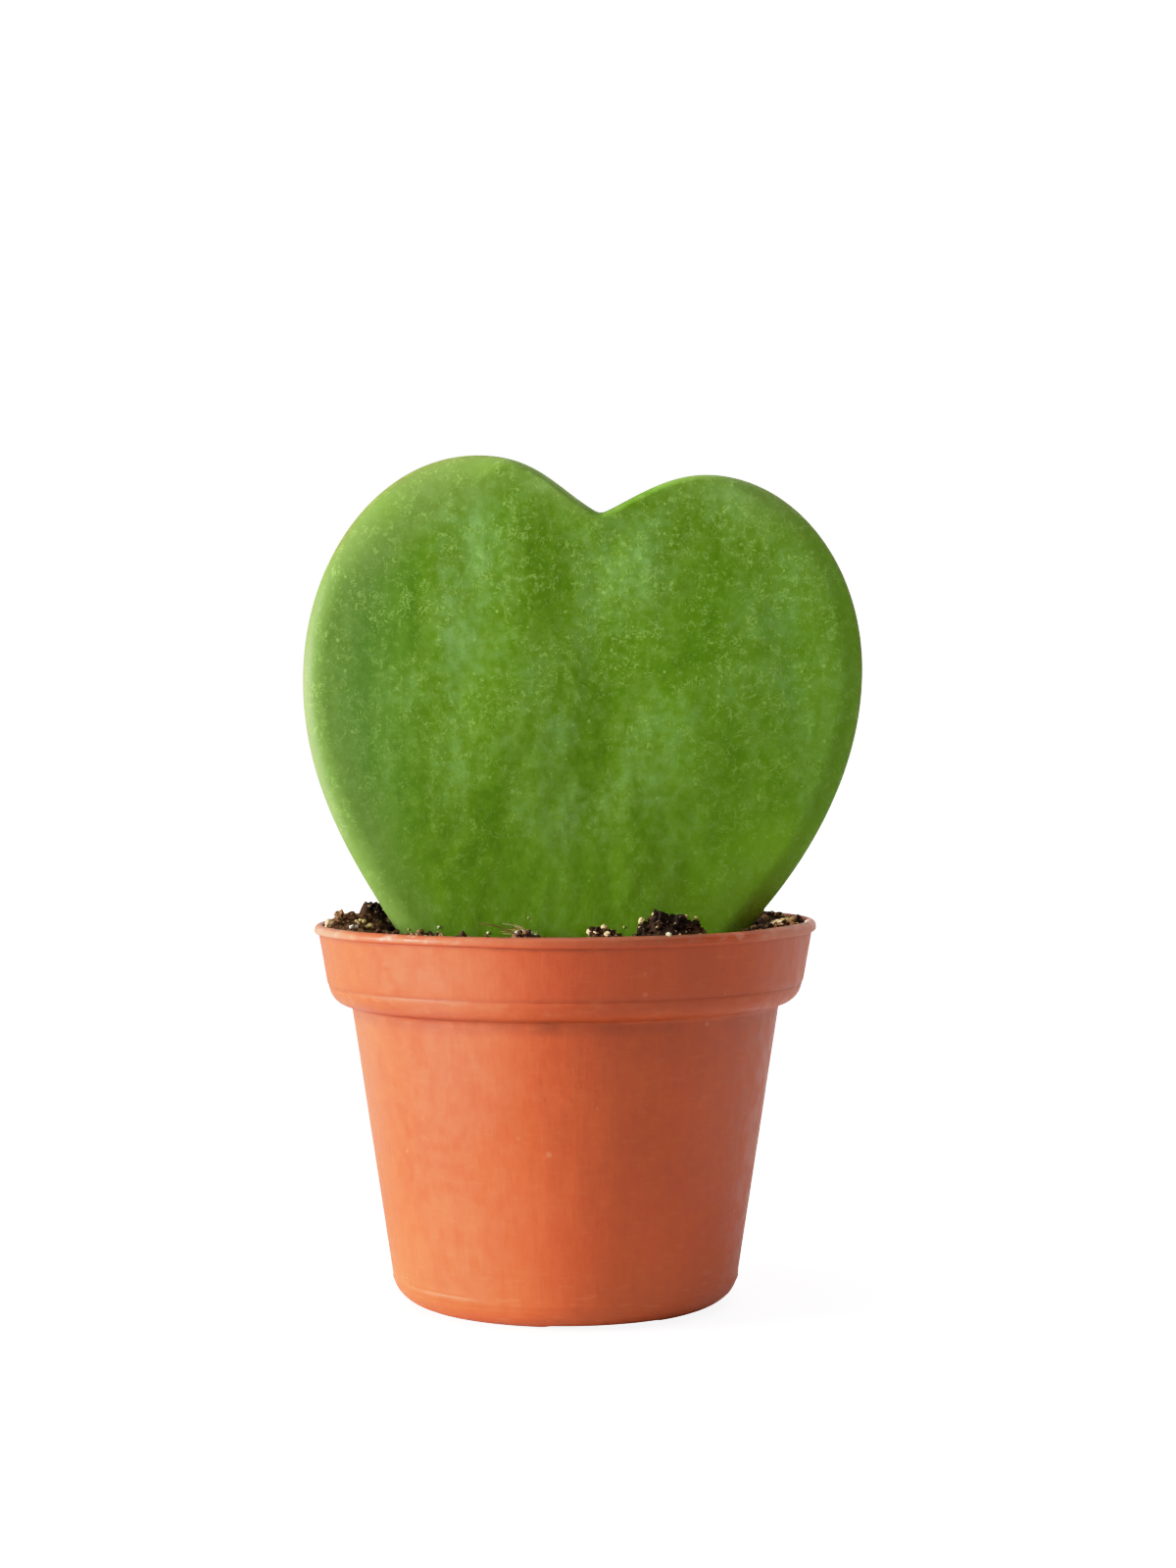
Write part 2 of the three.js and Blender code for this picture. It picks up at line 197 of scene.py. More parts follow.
# Leaf
NOTCH = (4.2, 94.0)
NOTCH_ROUND = 0.7
LEFT_TOP = (-10.6, 101.05)
RIGHT_TOP = (16.9, 98.7)
LEFT_SIDE = (-31.65, 74.1)
RIGHT_SIDE = (35.75, 75.4)
BLADE_BASE = (1.6, 23.0)
BASE_HALF_WIDTH = 3.4
# Where the blade's left and right edges meet the soil
LEFT_FOOT = (-20.6, 44.5)
RIGHT_FOOT = (23.8, 46.5)
# The same two edges at the soil as straight lines: height, x at that height, and slope
LEFT_EDGE = (44.5, -20.6, -0.66)
RIGHT_EDGE = (44.5, 22.1, 0.83)
# How far a lump's middle stays from the blade, beside it and before it, as a share of the lump's radius
BESIDE_SHARE = 0.4
BEFORE_SHARE = 0.35
BLADE_CENTRE = (2.2, 72.0)
BLADE_THICKNESS = 4.3
BLADE_CUP = 1.6
# How far in from its edge the blade is rounded, and zones where it is farther or, by the notch, less far
MARGIN_REACH = 3.0
WIDER_ZONE = (-4, -14, 85, 92, 1.6)
NARROWER_ZONE = (-12, -6, 86, 93, 2.1)
NARROWER_END = (27, 18)
MARGIN_FADE = 0.6
# The painted highlight, a whitish line down the lit left edge, from below upwards: height, width and strength
RIM_HIGHLIGHT_BANDS = [
    (52.0, 1.0, 0.02), (58.0, 1.2, 0.09), (66.0, 1.35, 0.13), (75.0, 1.35, 0.16), (80.0, 1.2, 0.08),
    (90.0, 1.0, 0.0)]
# Zones of the margin that are yellower, in the order of the pot's zones of dust and sheen, and how yellow it
# is anywhere
WARM_ZONES = [(8, -14, 84, 94, 1.0), (4, 1, 92, 95, 1.0), (9, 18, 88, 97, 0.7)]
WARM_ANYWHERE = 0.1
WARMTH = 0.9
# Where the left margin's milky tone starts and is full across, and its strength
MILKY_LEFT = (-12, -20, 0.95)
# Clear green: patches on the upper left margin and the top of the left lobe, and one low at the right
CLEAR_PATCHES = [(-21.5, 94.5, 3, 2.8, 0.5), (-9.5, 99.5, 4.5, 2, 0.3)]
LOW_RIGHT_PATCH = (26, 54.5, 4.5, 3.5, 0.6)
# Clear green along the right margin, low on the blade, and on the top of the right lobe, up to its end
CLEAR_RIGHT = (14, 26, 0.6)
CLEAR_LOW = (60, 47, 0.35)
CLEAR_LOBE = (9, 13, 88, 95, 0.3)
CLEAR_LOBE_END = (24, 17)
CLEAREST = 0.9
# The brown blush's strength, its zone at the right margin, and from where to where it grows along the top
BLUSH = 0.8
BLUSH_RIGHT = (24, 33, 62, 76, 1.0)
BLUSH_UPPER = (84, 92, 0.8)
MIDRIB_DEPTH = 0.14
MIDRIB_WIDTH = 3.0
SWELL_HEIGHT = 0.2
PALER_UPWARDS = 0.0012
PATCH_SHARE = 0.38
SHADE_UNEVEN = 0.14
# Patches of the skin: x, z, half width, half height, and how much paler (or, below 0, darker)
PATCHES = [
    (-11.1, 89.7, 2.5, 4.2, 1.0), (-13.4, 81.5, 2.0, 8.4, 0.55), (-12.2, 73.3, 1.7, 5.6, 0.45),
    (6.0, 86.2, 3.4, 4.5, 1.0), (9.1, 90.3, 2.2, 2.2, 0.7), (-0.2, 68.1, 1.7, 3.1, 0.5),
    (0.0, 57.0, 1.5, 2.5, 0.6), (10.6, 61.7, 2.8, 2.8, 0.3), (10.6, 68.4, 2.0, 2.5, 0.3),
    (18.5, 71.9, 2.2, 2.0, 0.35), (25.5, 74.5, 5.6, 2.0, 0.25), (23.1, 91.4, 2.0, 1.4, 0.5),
    (2.7, 78.6, 2.2, 2.5, 0.35), (27.8, 81.5, 4.2, 2.2, 0.25), (-16.5, 57.0, 4.5, 5.5, -0.32),
    (-22.4, 72.5, 2.8, 8.0, -0.22), (-18.3, 79.2, 2.8, 4.8, -0.7), (-16.8, 83.3, 2.0, 2.8, -0.4),
    (-3.6, 89.4, 2.0, 3.9, -0.8), (-0.3, 85.2, 2.2, 2.5, -0.8), (-3.1, 82.4, 2.0, 2.0, -0.6),
    (18.5, 86.2, 2.2, 3.1, -0.7), (16.5, 82.4, 2.2, 3.6, -0.7), (14.7, 78.0, 2.5, 3.1, -0.7),
    (12.6, 74.5, 3.1, 2.2, -0.5), (21.4, 77.4, 3.6, 2.2, -0.45), (-9.4, 58.7, 2.2, 4.2, -0.9),
    (-8.0, 53.7, 3.4, 5.0, -0.6), (-5.7, 50.9, 2.8, 3.6, -0.5), (-9.2, 45.9, 2.2, 3.1, -0.5),
    (-8.0, 64.6, 1.7, 2.0, -0.6), (-11.3, 66.7, 2.0, 1.7, -0.5), (2.8, 53.5, 2.2, 4.8, -0.7),
    (2.5, 48.2, 3.6, 3.6, -0.3), (5.0, 72.4, 1.7, 2.8, -0.6), (4.1, 64.6, 2.0, 2.8, -0.5),
    (-19.2, 69.5, 3.1, 1.7, -0.5), (19.3, 56.4, 4.8, 3.4, -0.5), (19.6, 65.2, 4.2, 3.6, -0.35),
    (9.7, 51.7, 2.2, 2.8, -0.3), (13.2, 89.7, 2.2, 3.4, -0.35), (17.5, 96.0, 9.0, 1.8, 0.5),
    # On the next line, the darker patch at (8.0, 96.3) is painted shade on the lit slope of the right lobe by
    # the notch, and the paler one at (-2.5, 97.6) is painted light on the shaded slope of the left lobe
    (22.5, 57.5, 4.0, 4.0, -0.25), (8.0, 96.3, 4.5, 2.0, -0.9), (-2.5, 97.6, 3.5, 1.8, 0.8),
    (-18.8, 87.3, 2.6, 3.6, -0.75), (1.1, 58.2, 1.6, 3.4, 0.3), (19.0, 50.0, 7.0, 6.0, -0.3),
    (-13.0, 50.0, 6.0, 6.0, -0.2), (-4.3, 76.8, 2.5, 4.0, -0.25),
]
OUTLINE_STEP = 0.5
MARGIN_RINGS = 16
INNER_RINGS = 44
STALK_RADIUS = 2.0
STALK_TAPER = 0.8
STALK_LENGTH = 8.0
STALK_OVERLAP = 1.5
ROOTS = 5
ROOT_RADIUS = 0.7
ROOT_BENDS = [(0, 0), (3.2, 2.4), (6.8, 4), (9, 8)]
ROOT_TURN = 0.5

# Camera, placed as the photograph was taken
CAMERA_DISTANCE = 320.0
CAMERA_HEIGHT = 64.7
CAMERA_RIGHT = 2.7
CAMERA_TILT = math.radians(0.547)
LENS_MM = 61.29

# Studio
FLOOR_RADIUS = 6000.0
WORLD_LIGHT = 0.15
BACKDROP_GLOW = 2.0
FLOOR_GLOW = 1.45
# The camera's response, from light to picture: it holds back the brightest tones
TONE_WHITE = 2.0
TONES = [
    (0.0, 0.0), (0.5, 0.5), (0.65, 0.63), (0.8, 0.72), (1.0, 0.795), (1.28, 0.86), (1.52, 0.915),
    (TONE_WHITE, 1.0)]


# Helpers for meshes

def mesh_object(name, vertices, faces, smooth=True):
    """Makes an object from points in millimetres and faces of corner numbers."""
    mesh = bpy.data.meshes.new(name)
    mesh.from_pydata([(x * MM, y * MM, z * MM) for x, y, z in vertices], [], faces)
    mesh.polygons.foreach_set("use_smooth", [smooth] * len(mesh.polygons))
    made = bpy.data.objects.new(name, mesh)
    bpy.context.collection.objects.link(made)
    return made


def add_value(thing, name, values):
    """Stores one number for each point of a mesh, which its material reads by name."""
    layer = thing.data.attributes.new(name, "FLOAT", "POINT")
    layer.data.foreach_set("value", values)


def revolve(points, sides):
    """Turns a section of (radius, height) about Z. Points on the axis become one vertex."""
    vertices, faces, rings = [], [], []
    for radius, height in points:
        if radius < 1e-6:
            rings.append([len(vertices)] * sides)
            vertices.append((0.0, 0.0, height))
            continue
        rings.append(list(range(len(vertices), len(vertices) + sides)))
        for i in range(sides):
            angle = 2 * math.pi * i / sides
            vertices.append((radius * math.cos(angle), radius * math.sin(angle), height))
    for low, high in zip(rings, rings[1:]):
        for i in range(sides):
            j = (i + 1) % sides
            corners = [low[i], low[j], high[j], high[i]]
            faces.append(tuple(dict.fromkeys(corners)))
    return vertices, faces


def arc(centre, radii, start, end, steps):
    """Points on part of an ellipse, with angles in degrees."""
    points = []
    for i in range(steps + 1):
        angle = math.radians(start + (end - start) * i / steps)
        points.append((centre[0] + radii[0] * math.cos(angle), centre[1] + radii[1] * math.sin(angle)))
    return points


def bezier(*controls, steps=8):
    """Points on a quadratic or cubic curve."""
    points = []
    for i in range(steps + 1):
        t = i / steps
        level = [Vector(point) for point in controls]
        while len(level) > 1:
            level = [a.lerp(b, t) for a, b in zip(level, level[1:])]
        points.append(tuple(level[0]))
    return points


def spaced(points, step):
    """The same line with points about one step apart, keeping the first and leaving out the last."""
    result = []
    for a, b in zip(points, points[1:]):
        a, b = Vector(a), Vector(b)
        parts = max(1, round((b - a).length / step))
        result.extend(tuple(a.lerp(b, i / parts)) for i in range(parts))
    return result


def smoothstep(low, high, value):
    """0 at low and 1 at high, in either order, with a smooth change between."""
    t = min(1.0, max(0.0, (value - low) / (high - low)))
    return t * t * (3 - 2 * t)


def zone(x, z, span):
    """A zone's strength at a place: it grows across and upwards from where it starts to where it is full."""
    start_x, full_x, start_z, full_z, strength = span
    return strength * smoothstep(start_x, full_x, x) * smoothstep(start_z, full_z, z)


def grown(value, span):
    """A strength that grows with a value, from where it starts to where it is full."""
    start, full, strength = span
    return strength * smoothstep(start, full, value)


def patches_at(x, z, patches):
    """The sum of soft oval patches at a place."""
    return sum(
        strength * math.exp(-(((x - patch_x) / wide) ** 2 + ((z - patch_z) / high) ** 2))
        for patch_x, patch_z, wide, high, strength in patches)


# Helpers for materials

def fill(tree, made, inputs):
    """Sets a node's inputs from values, or links them where a socket is given."""
    for key, value in inputs.items():
        if isinstance(value, bpy.types.NodeSocket):
            tree.links.new(value, made.inputs[key])
        else:
            made.inputs[key].default_value = value
    return made


def add_node(tree, kind, inputs=None, **settings):
    """A new node with its settings, and with its inputs set or linked."""
    made = tree.nodes.new(kind)
    for name, value in settings.items():
        setattr(made, name, value)
    return fill(tree, made, inputs or {})


def new_group(name, inputs, outputs):
    """A shader node group with named sockets, given as pairs of label and socket type."""
    group = bpy.data.node_groups.new(name, "ShaderNodeTree")
    for label, kind in inputs:
        group.interface.new_socket(label, in_out="INPUT", socket_type=kind)
    for label, kind in outputs:
        group.interface.new_socket(label, in_out="OUTPUT", socket_type=kind)
    return group, group.nodes.new("NodeGroupInput"), group.nodes.new("NodeGroupOutput")


def place(tree, group, inputs):
    """Places a node group in a material, with its own values."""
    made = tree.nodes.new("ShaderNodeGroup")
    made.node_tree = group
    return fill(tree, made, inputs)


def mix(tree, mask, first, second, blend="MIX"):
    """A colour between two colours."""
    made = tree.nodes.new("ShaderNodeMix")
    made.data_type = "RGBA"
    made.blend_type = blend
    sockets = [made.inputs["Factor"]] + [socket for socket in made.inputs if socket.type == "RGBA"]
    for socket, value in zip(sockets, (mask, first, second)):
        if isinstance(value, bpy.types.NodeSocket):
            tree.links.new(value, socket)
        else:
            socket.default_value = value
    return next(socket for socket in made.outputs if socket.type == "RGBA")


def math_node(tree, operation, first, second=0.0, clamp=False):
    """The result of one sum on one or two values."""
    made = add_node(tree, "ShaderNodeMath", {0: first, 1: second}, operation=operation, use_clamp=clamp)
    return made.outputs[0]


def product(tree, first, *others):
    """Values multiplied together."""
    for other in others:
        first = math_node(tree, "MULTIPLY", first, other)
    return first


def map_range(tree, value, low, high, to_low=0.0, to_high=1.0):
    """Maps a value smoothly from one range to another."""
    made = add_node(
        tree, "ShaderNodeMapRange",
        {"Value": value, "From Min": low, "From Max": high, "To Min": to_low, "To Max": to_high},
        interpolation_type="SMOOTHSTEP")
    return made.outputs["Result"]


def map_mm(tree, length, start_mm, end_mm, to_low=0.0, to_high=1.0):
    """Maps a length from one range to another, with the first range given in millimetres."""
    return map_range(tree, length, start_mm * MM, end_mm * MM, to_low, to_high)


def surface_place(tree, stretch=(1.0, 1.0, 1.0)):
    """The place of a surface point on its own object, stretched by three factors."""
    coordinates = add_node(tree, "ShaderNodeTexCoord")
    scaled = add_node(
        tree, "ShaderNodeVectorMath", {0: coordinates.outputs["Object"], 1: stretch}, operation="MULTIPLY")
    return scaled.outputs[0]


def cloud_group():
    """Soft patches, as a mask."""
    group, given, put = new_group(
        "soft patches",
        [("Place", "NodeSocketVector"), ("Scale", "NodeSocketFloat"), ("Detail", "NodeSocketFloat"),
         ("From", "NodeSocketFloat"), ("To", "NodeSocketFloat")],
        [("Mask", "NodeSocketFloat")])
    cloud = add_node(group, "ShaderNodeTexNoise", {
        "Vector": given.outputs["Place"], "Scale": given.outputs["Scale"], "Detail": given.outputs["Detail"]})
    mask = map_range(group, cloud.outputs["Fac"], given.outputs["From"], given.outputs["To"])
    group.links.new(mask, put.inputs["Mask"])
    return group


def speck_group():
    """Small separate specks, as a mask. Share is how many cells have one, Size its radius in cells."""
    group, given, put = new_group(
        "specks",
        [("Place", "NodeSocketVector"), ("Scale", "NodeSocketFloat"), ("Share", "NodeSocketFloat"),
         ("Size", "NodeSocketFloat")],
        [("Mask", "NodeSocketFloat")])
    cells = add_node(group, "ShaderNodeTexVoronoi", {
        "Vector": given.outputs["Place"], "Scale": given.outputs["Scale"]})
    parts = add_node(group, "ShaderNodeSeparateColor", {"Color": cells.outputs["Color"]})
    chosen = math_node(group, "LESS_THAN", parts.outputs[0], given.outputs["Share"])
    radius = math_node(group, "MULTIPLY", given.outputs["Size"], parts.outputs[1])
    near = math_node(group, "SUBTRACT", radius, cells.outputs["Distance"])
    soft = math_node(group, "MULTIPLY", near, 9.0, clamp=True)
    mask = math_node(group, "MULTIPLY", soft, chosen)
    group.links.new(mask, put.inputs["Mask"])
    return group


def grain_group():
    """Fine grain over coarse grain, as a height."""
    group, given, put = new_group(
        "grain",
        [("Place", "NodeSocketVector"), ("Fine", "NodeSocketFloat"), ("Coarse", "NodeSocketFloat"),
         ("Coarse Share", "NodeSocketFloat")],
        [("Height", "NodeSocketFloat")])
    fine = add_node(group, "ShaderNodeTexNoise", {
        "Vector": given.outputs["Place"], "Scale": given.outputs["Fine"], "Detail": 3.0})
    coarse = add_node(group, "ShaderNodeTexNoise", {
        "Vector": given.outputs["Place"], "Scale": given.outputs["Coarse"], "Detail": 2.0})
    share = math_node(group, "MULTIPLY", coarse.outputs["Fac"], given.outputs["Coarse Share"])
    height = math_node(group, "ADD", fine.outputs["Fac"], share)
    group.links.new(height, put.inputs["Height"])
    return group


def thread_group():
    """Fine curling threads, as a mask."""
    group, given, put = new_group(
        "threads",
        [("Place", "NodeSocketVector"), ("Scale", "NodeSocketFloat"), ("Width", "NodeSocketFloat"),
         ("Bend", "NodeSocketFloat")],
        [("Mask", "NodeSocketFloat")])
    field = add_node(group, "ShaderNodeTexNoise", {
        "Vector": given.outputs["Place"], "Scale": given.outputs["Scale"], "Detail": 1.0,
        "Distortion": given.outputs["Bend"]})
    off = math_node(group, "ABSOLUTE", math_node(group, "SUBTRACT", field.outputs["Fac"], 0.5))
    mask = map_range(group, off, given.outputs["Width"], 0.0)
    group.links.new(mask, put.inputs["Mask"])
    return group


def patchy(tree, groups, scale, detail, low, high, stretch=(1, 1, 1)):
    """A mask of soft patches, finer for a larger scale: 0 where its noise is low, and 1 where it is high."""
    return place(tree, groups["cloud"], {
        "Place": surface_place(tree, stretch), "Scale": scale, "Detail": detail, "From": low,
        "To": high}).outputs["Mask"]


def speckled(tree, groups, scale, share, size, stretch=(1, 1, 1)):
    """A mask of separate specks, finer for a larger scale."""
    return place(tree, groups["speck"], {
        "Place": surface_place(tree, stretch), "Scale": scale, "Share": share, "Size": size}).outputs["Mask"]


def grained(tree, groups, fine, coarse, coarse_share, stretch=(1, 1, 1)):
    """The height of fine grain over coarse grain."""
    return place(tree, groups["grain"], {
        "Place": surface_place(tree, stretch), "Fine": fine, "Coarse": coarse,
        "Coarse Share": coarse_share}).outputs["Height"]


def attribute_value(tree, name):
    """A number that the mesh stores for each of its points."""
    return add_node(tree, "ShaderNodeAttribute", attribute_name=name).outputs["Fac"]


def shades(tree, value, stops):
    """A colour that follows a value through several shades."""
    ramp = add_node(tree, "ShaderNodeValToRGB", {"Fac": value})
    elements = ramp.color_ramp.elements
    while len(elements) < len(stops):
        elements.new(0.5)
    for element, (position, shade) in zip(elements, stops):
        element.position = position
        element.color = shade
    return ramp.outputs["Color"]


def bumped(tree, height, strength, distance_mm):
    """The surface's normal, tilted as a height tells."""
    made = add_node(tree, "ShaderNodeBump", {
        "Height": height, "Strength": strength, "Distance": distance_mm * MM})
    return made.outputs["Normal"]


def new_material(name):
    """A material, its node tree and its shader."""
    material = bpy.data.materials.new(name)
    material.use_nodes = True
    tree = material.node_tree
    shader = tree.nodes["Principled BSDF"]
    return material, tree, shader


def colour(red, green, blue):
    """A linear colour from one given as it looks on a screen, from 0 to 255."""
    def linear(value):
        value /= 255
        return value / 12.92 if value <= 0.04045 else ((value + 0.055) / 1.055) ** 2.4
    return (linear(red), linear(green), linear(blue), 1.0)


# Materials

def pot_plastic(groups):
    """Satin terracotta-coloured plastic with faint clouds and streaks, pale scuffs and moulding lines, and
    painted light, shade and sheen.
    """
    material, tree, shader = new_material("terracotta plastic")
    height = attribute_value(tree, "level")
    across = add_node(tree, "ShaderNodeSeparateXYZ", {"Vector": surface_place(tree)}).outputs["X"]
    clouds = patchy(tree, groups, 75.0, 3.0, 0.35, 0.65, stretch=(1, 1, 0.5))
    streaks = patchy(tree, groups, 620.0, 3.0, 0.35, 0.65, stretch=(1, 1, 0.06))
    mottles = patchy(tree, groups, 520.0, 5.0, 0.3, 0.7)
    specks = speckled(tree, groups, 560.0, share=0.14, size=0.24)
    body = mix(tree, clouds, colour(202, 86, 35), colour(191, 76, 30))
    body = mix(tree, product(tree, streaks, 0.3), body, colour(174, 71, 30))
    body = mix(tree, product(tree, mottles, 0.3), body, colour(206, 100, 52))
    body = mix(tree, product(tree, specks, 0.3), body, colour(222, 150, 112))
    # The lip and the shoulder are scuffed paler than the wall
    scuffs = patchy(tree, groups, 420.0, 5.0, 0.5, 0.7, stretch=(1, 1, 2))
    on_lip = map_mm(tree, height, POT_HEIGHT - LIP_HEIGHT, POT_HEIGHT - 0.5)
    rubbed_left = map_mm(tree, across, -8, -14, 0.12, 0.75)
    rubbed_right = map_mm(tree, across, 10, 20, 0.0, 0.3)
    worn = product(tree, on_lip, scuffs, math_node(tree, "ADD", rubbed_left, rubbed_right))
    body = mix(tree, worn, body, colour(222, 160, 136))
    shoulder = product(tree, map_mm(tree, height, 35.6, 36.6), map_mm(tree, height, 38.6, 37.6))
    body = mix(tree, product(tree, shoulder, scuffs, 0.14), body, colour(214, 138, 98))
    # Paler low on the wall, painted light thrown up from the floor, and painted shade in the corners under
    # the lip, in the groove and under the shoulder
    body = mix(tree, map_mm(tree, height, 11, 2, 0.0, 0.14), body, colour(222, 132, 84))
    lengths = patchy(tree, groups, 380.0, 5.0, 0.3, 0.68, stretch=(1, 1, 0.6))
    uneven = product(
        tree, map_range(tree, lengths, 0.0, 1.0, 0.55, 1.0), map_mm(tree, across, 4, 15, 1.0, 0.4))
    # Each line darkens the plastic as painted shade where its recess lies in shadow
    for low_z, high_z, fade_below, fade_above, strength in PAINTED_SHADE_LINES:
        above = map_mm(tree, height, low_z - fade_below, low_z)
        below = map_mm(tree, height, high_z + fade_above, high_z)
        body = mix(tree, product(tree, above, below, uneven, strength), body, colour(124, 54, 24))
    # The collar is painted a little darker in the middle: painted shade
    collar = product(
        tree, map_mm(tree, height, 36.2, 37.4), map_mm(tree, across, -12, -3, 0.0, 0.22),
        map_mm(tree, across, 22, 16))
    body = mix(tree, collar, body, colour(160, 52, 18))
    # Pale dust, and painted sheen where light glances off the sides of the pot
    body = mix(tree, attribute_value(tree, "dust_and_sheen"), body, colour(204, 162, 142))
    shade = attribute_value(tree, "shade")
    body = mix(tree, math_node(tree, "MAXIMUM", shade, 0.0), body, colour(230, 100, 45))
    deeper = product(tree, math_node(tree, "MINIMUM", shade, 0.0), -1.0)
    body = mix(tree, deeper, body, colour(130, 52, 22))
    # The middle of the lip is duller, and soil dust clings along its top
    middle = product(tree, map_mm(tree, across, -16, -6, 0.1, 0.34), map_mm(tree, across, 20, 8))
    body = mix(tree, product(tree, on_lip, middle), body, colour(144, 98, 73))
    on_top = map_mm(tree, height, POT_HEIGHT - 0.3, POT_HEIGHT - 0.05)
    body = mix(tree, product(tree, on_top, lengths, 0.6), body, colour(112, 66, 42))
    # Fine level scratches, most of them low on the wall
    scratches = patchy(tree, groups, 420.0, 6.0, 0.55, 0.7, stretch=(1, 1, 5))
    low = map_mm(tree, height, 8, 3, 0.35, 1.0)
    body = mix(tree, product(tree, scratches, low, 0.22), body, colour(222, 132, 84))
    tree.links.new(body, shader.inputs["Base Color"])
    tree.links.new(map_range(tree, mottles, 0.0, 1.0, 0.4, 0.54), shader.inputs["Roughness"])
    # The mould's grain, faint upright streaks and small raised flaws
    grain = grained(tree, groups, 1500.0, 260.0, 2.0, stretch=(1, 1, 0.7))
    flaws = speckled(tree, groups, 300.0, share=0.22, size=0.34, stretch=(1, 1, 1.7))
    relief = math_node(tree, "ADD", grain, product(tree, streaks, 0.5))
    relief = math_node(tree, "ADD", relief, product(tree, flaws, 0.8))
    tree.links.new(bumped(tree, relief, 0.3, 0.08), shader.inputs["Normal"])
    shader.inputs["Specular IOR Level"].default_value = 0.32
    return material


def leaf_skin(groups):
    """Thick waxy skin with dark and pale patches, and pale specks and threads on it."""
    material, tree, shader = new_material("hoya leaf skin")
    streaks = patchy(tree, groups, 260.0, 3.0, 0.3, 0.7, stretch=(1, 1, 0.4))
    mottles = patchy(tree, groups, 900.0, 6.0, 0.3, 0.7)
    blotches = patchy(tree, groups, 520.0, 3.0, 0.36, 0.64)
    shade = attribute_value(tree, "patch")
    for mask, strength in ((streaks, 0.3), (mottles, 0.34), (blotches, 0.12)):
        off_middle = math_node(tree, "SUBTRACT", mask, 0.5)
        shade = math_node(tree, "ADD", shade, product(tree, off_middle, strength))
    body = shades(tree, shade, [
        (0.0, colour(71, 111, 0)), (0.3, colour(83, 122, 8)), (0.55, colour(94, 131, 30)),
        (0.8, colour(104, 143, 56)), (1.0, colour(116, 156, 77))])
    cooler = patchy(tree, groups, 330.0, 5.0, 0.42, 0.66, stretch=(1, 1, 0.7))
    paler = map_range(tree, shade, 0.3, 0.65, 0.0, 0.2)
    body = mix(tree, product(tree, cooler, paler), body, colour(95, 141, 65))
    # A milky cast towards the left, and clearer green at the right, below the lobes
    here = add_node(tree, "ShaderNodeSeparateXYZ", {"Vector": surface_place(tree)})
    across, height = here.outputs["X"], here.outputs["Z"]
    body = mix(tree, map_mm(tree, across, -15, -25, 0.0, 0.36), body, colour(78, 118, 60))
    right = product(tree, map_mm(tree, across, 8, 20, 0.0, 0.22), map_mm(tree, height, 82, 92, 1.0, 0.0))
    body = mix(tree, right, body, colour(79, 127, 6))
    # Clear and yellower green along the margins, a milky left side, a painted highlight as a whitish line
    # down the lit left edge, and a brown blush
    for name, tone in (
            ("fresh", colour(104, 147, 20)), ("warm", colour(129, 152, 76)), ("side", colour(101, 127, 54)),
            ("rim", colour(196, 206, 178)), ("blush", colour(118, 96, 54))):
        body = mix(tree, attribute_value(tree, name), body, tone)
    # Pale specks and threads lie in drifts, thicker towards the top
    upper = map_mm(tree, height, 45, 90, 0.45, 1.0)
    drifts = patchy(tree, groups, 210.0, 4.0, 0.36, 0.62)
    fine = speckled(tree, groups, 2900.0, share=0.5, size=0.55)
    large = speckled(tree, groups, 1100.0, share=0.12, size=0.3)
    threads = place(tree, groups["thread"], {
        "Place": surface_place(tree), "Scale": 1080.0, "Width": 0.07, "Bend": 1.9})
    pieces = patchy(tree, groups, 1050.0, 1.0, 0.45, 0.57)
    curls = product(tree, threads.outputs["Mask"], pieces)
    marks = math_node(tree, "ADD", product(tree, fine, 0.35), curls, clamp=True)
    marks = product(tree, marks, map_range(tree, drifts, 0.0, 1.0, 0.35, 1.0))
    marks = math_node(tree, "ADD", marks, large, clamp=True)
    marks = product(tree, marks, upper, 0.54)
    body = mix(tree, marks, body, colour(154, 188, 96))
    tree.links.new(body, shader.inputs["Base Color"])
    tree.links.new(map_range(tree, mottles, 0.0, 1.0, 0.5, 0.62), shader.inputs["Roughness"])
    grain = grained(tree, groups, 1900.0, 420.0, 1.5)
    relief = math_node(tree, "ADD", grain, product(tree, marks, 0.6))
    tree.links.new(bumped(tree, relief, 0.3, 0.1), shader.inputs["Normal"])
    shader.inputs["Specular IOR Level"].default_value = 0.1
    shader.inputs["Subsurface Weight"].default_value = 0.1
    shader.inputs["Subsurface Radius"].default_value = (0.6, 1.0, 0.25)
    shader.inputs["Subsurface Scale"].default_value = 0.001
    return material


def root_skin(groups):
    """Pale brown skin of the stalk and the roots, darkened by soil."""
    material, tree, shader = new_material("root skin")
    stains = patchy(tree, groups, 400.0, 4.0, 0.4, 0.65)
    body = mix(tree, stains, colour(176, 150, 104), colour(96, 70, 44))
    tree.links.new(body, shader.inputs["Base Color"])
    grain = grained(tree, groups, 2200.0, 700.0, 1.0)
    tree.links.new(bumped(tree, grain, 0.5, 0.15), shader.inputs["Normal"])
    shader.inputs["Roughness"].default_value = 0.8
    return material


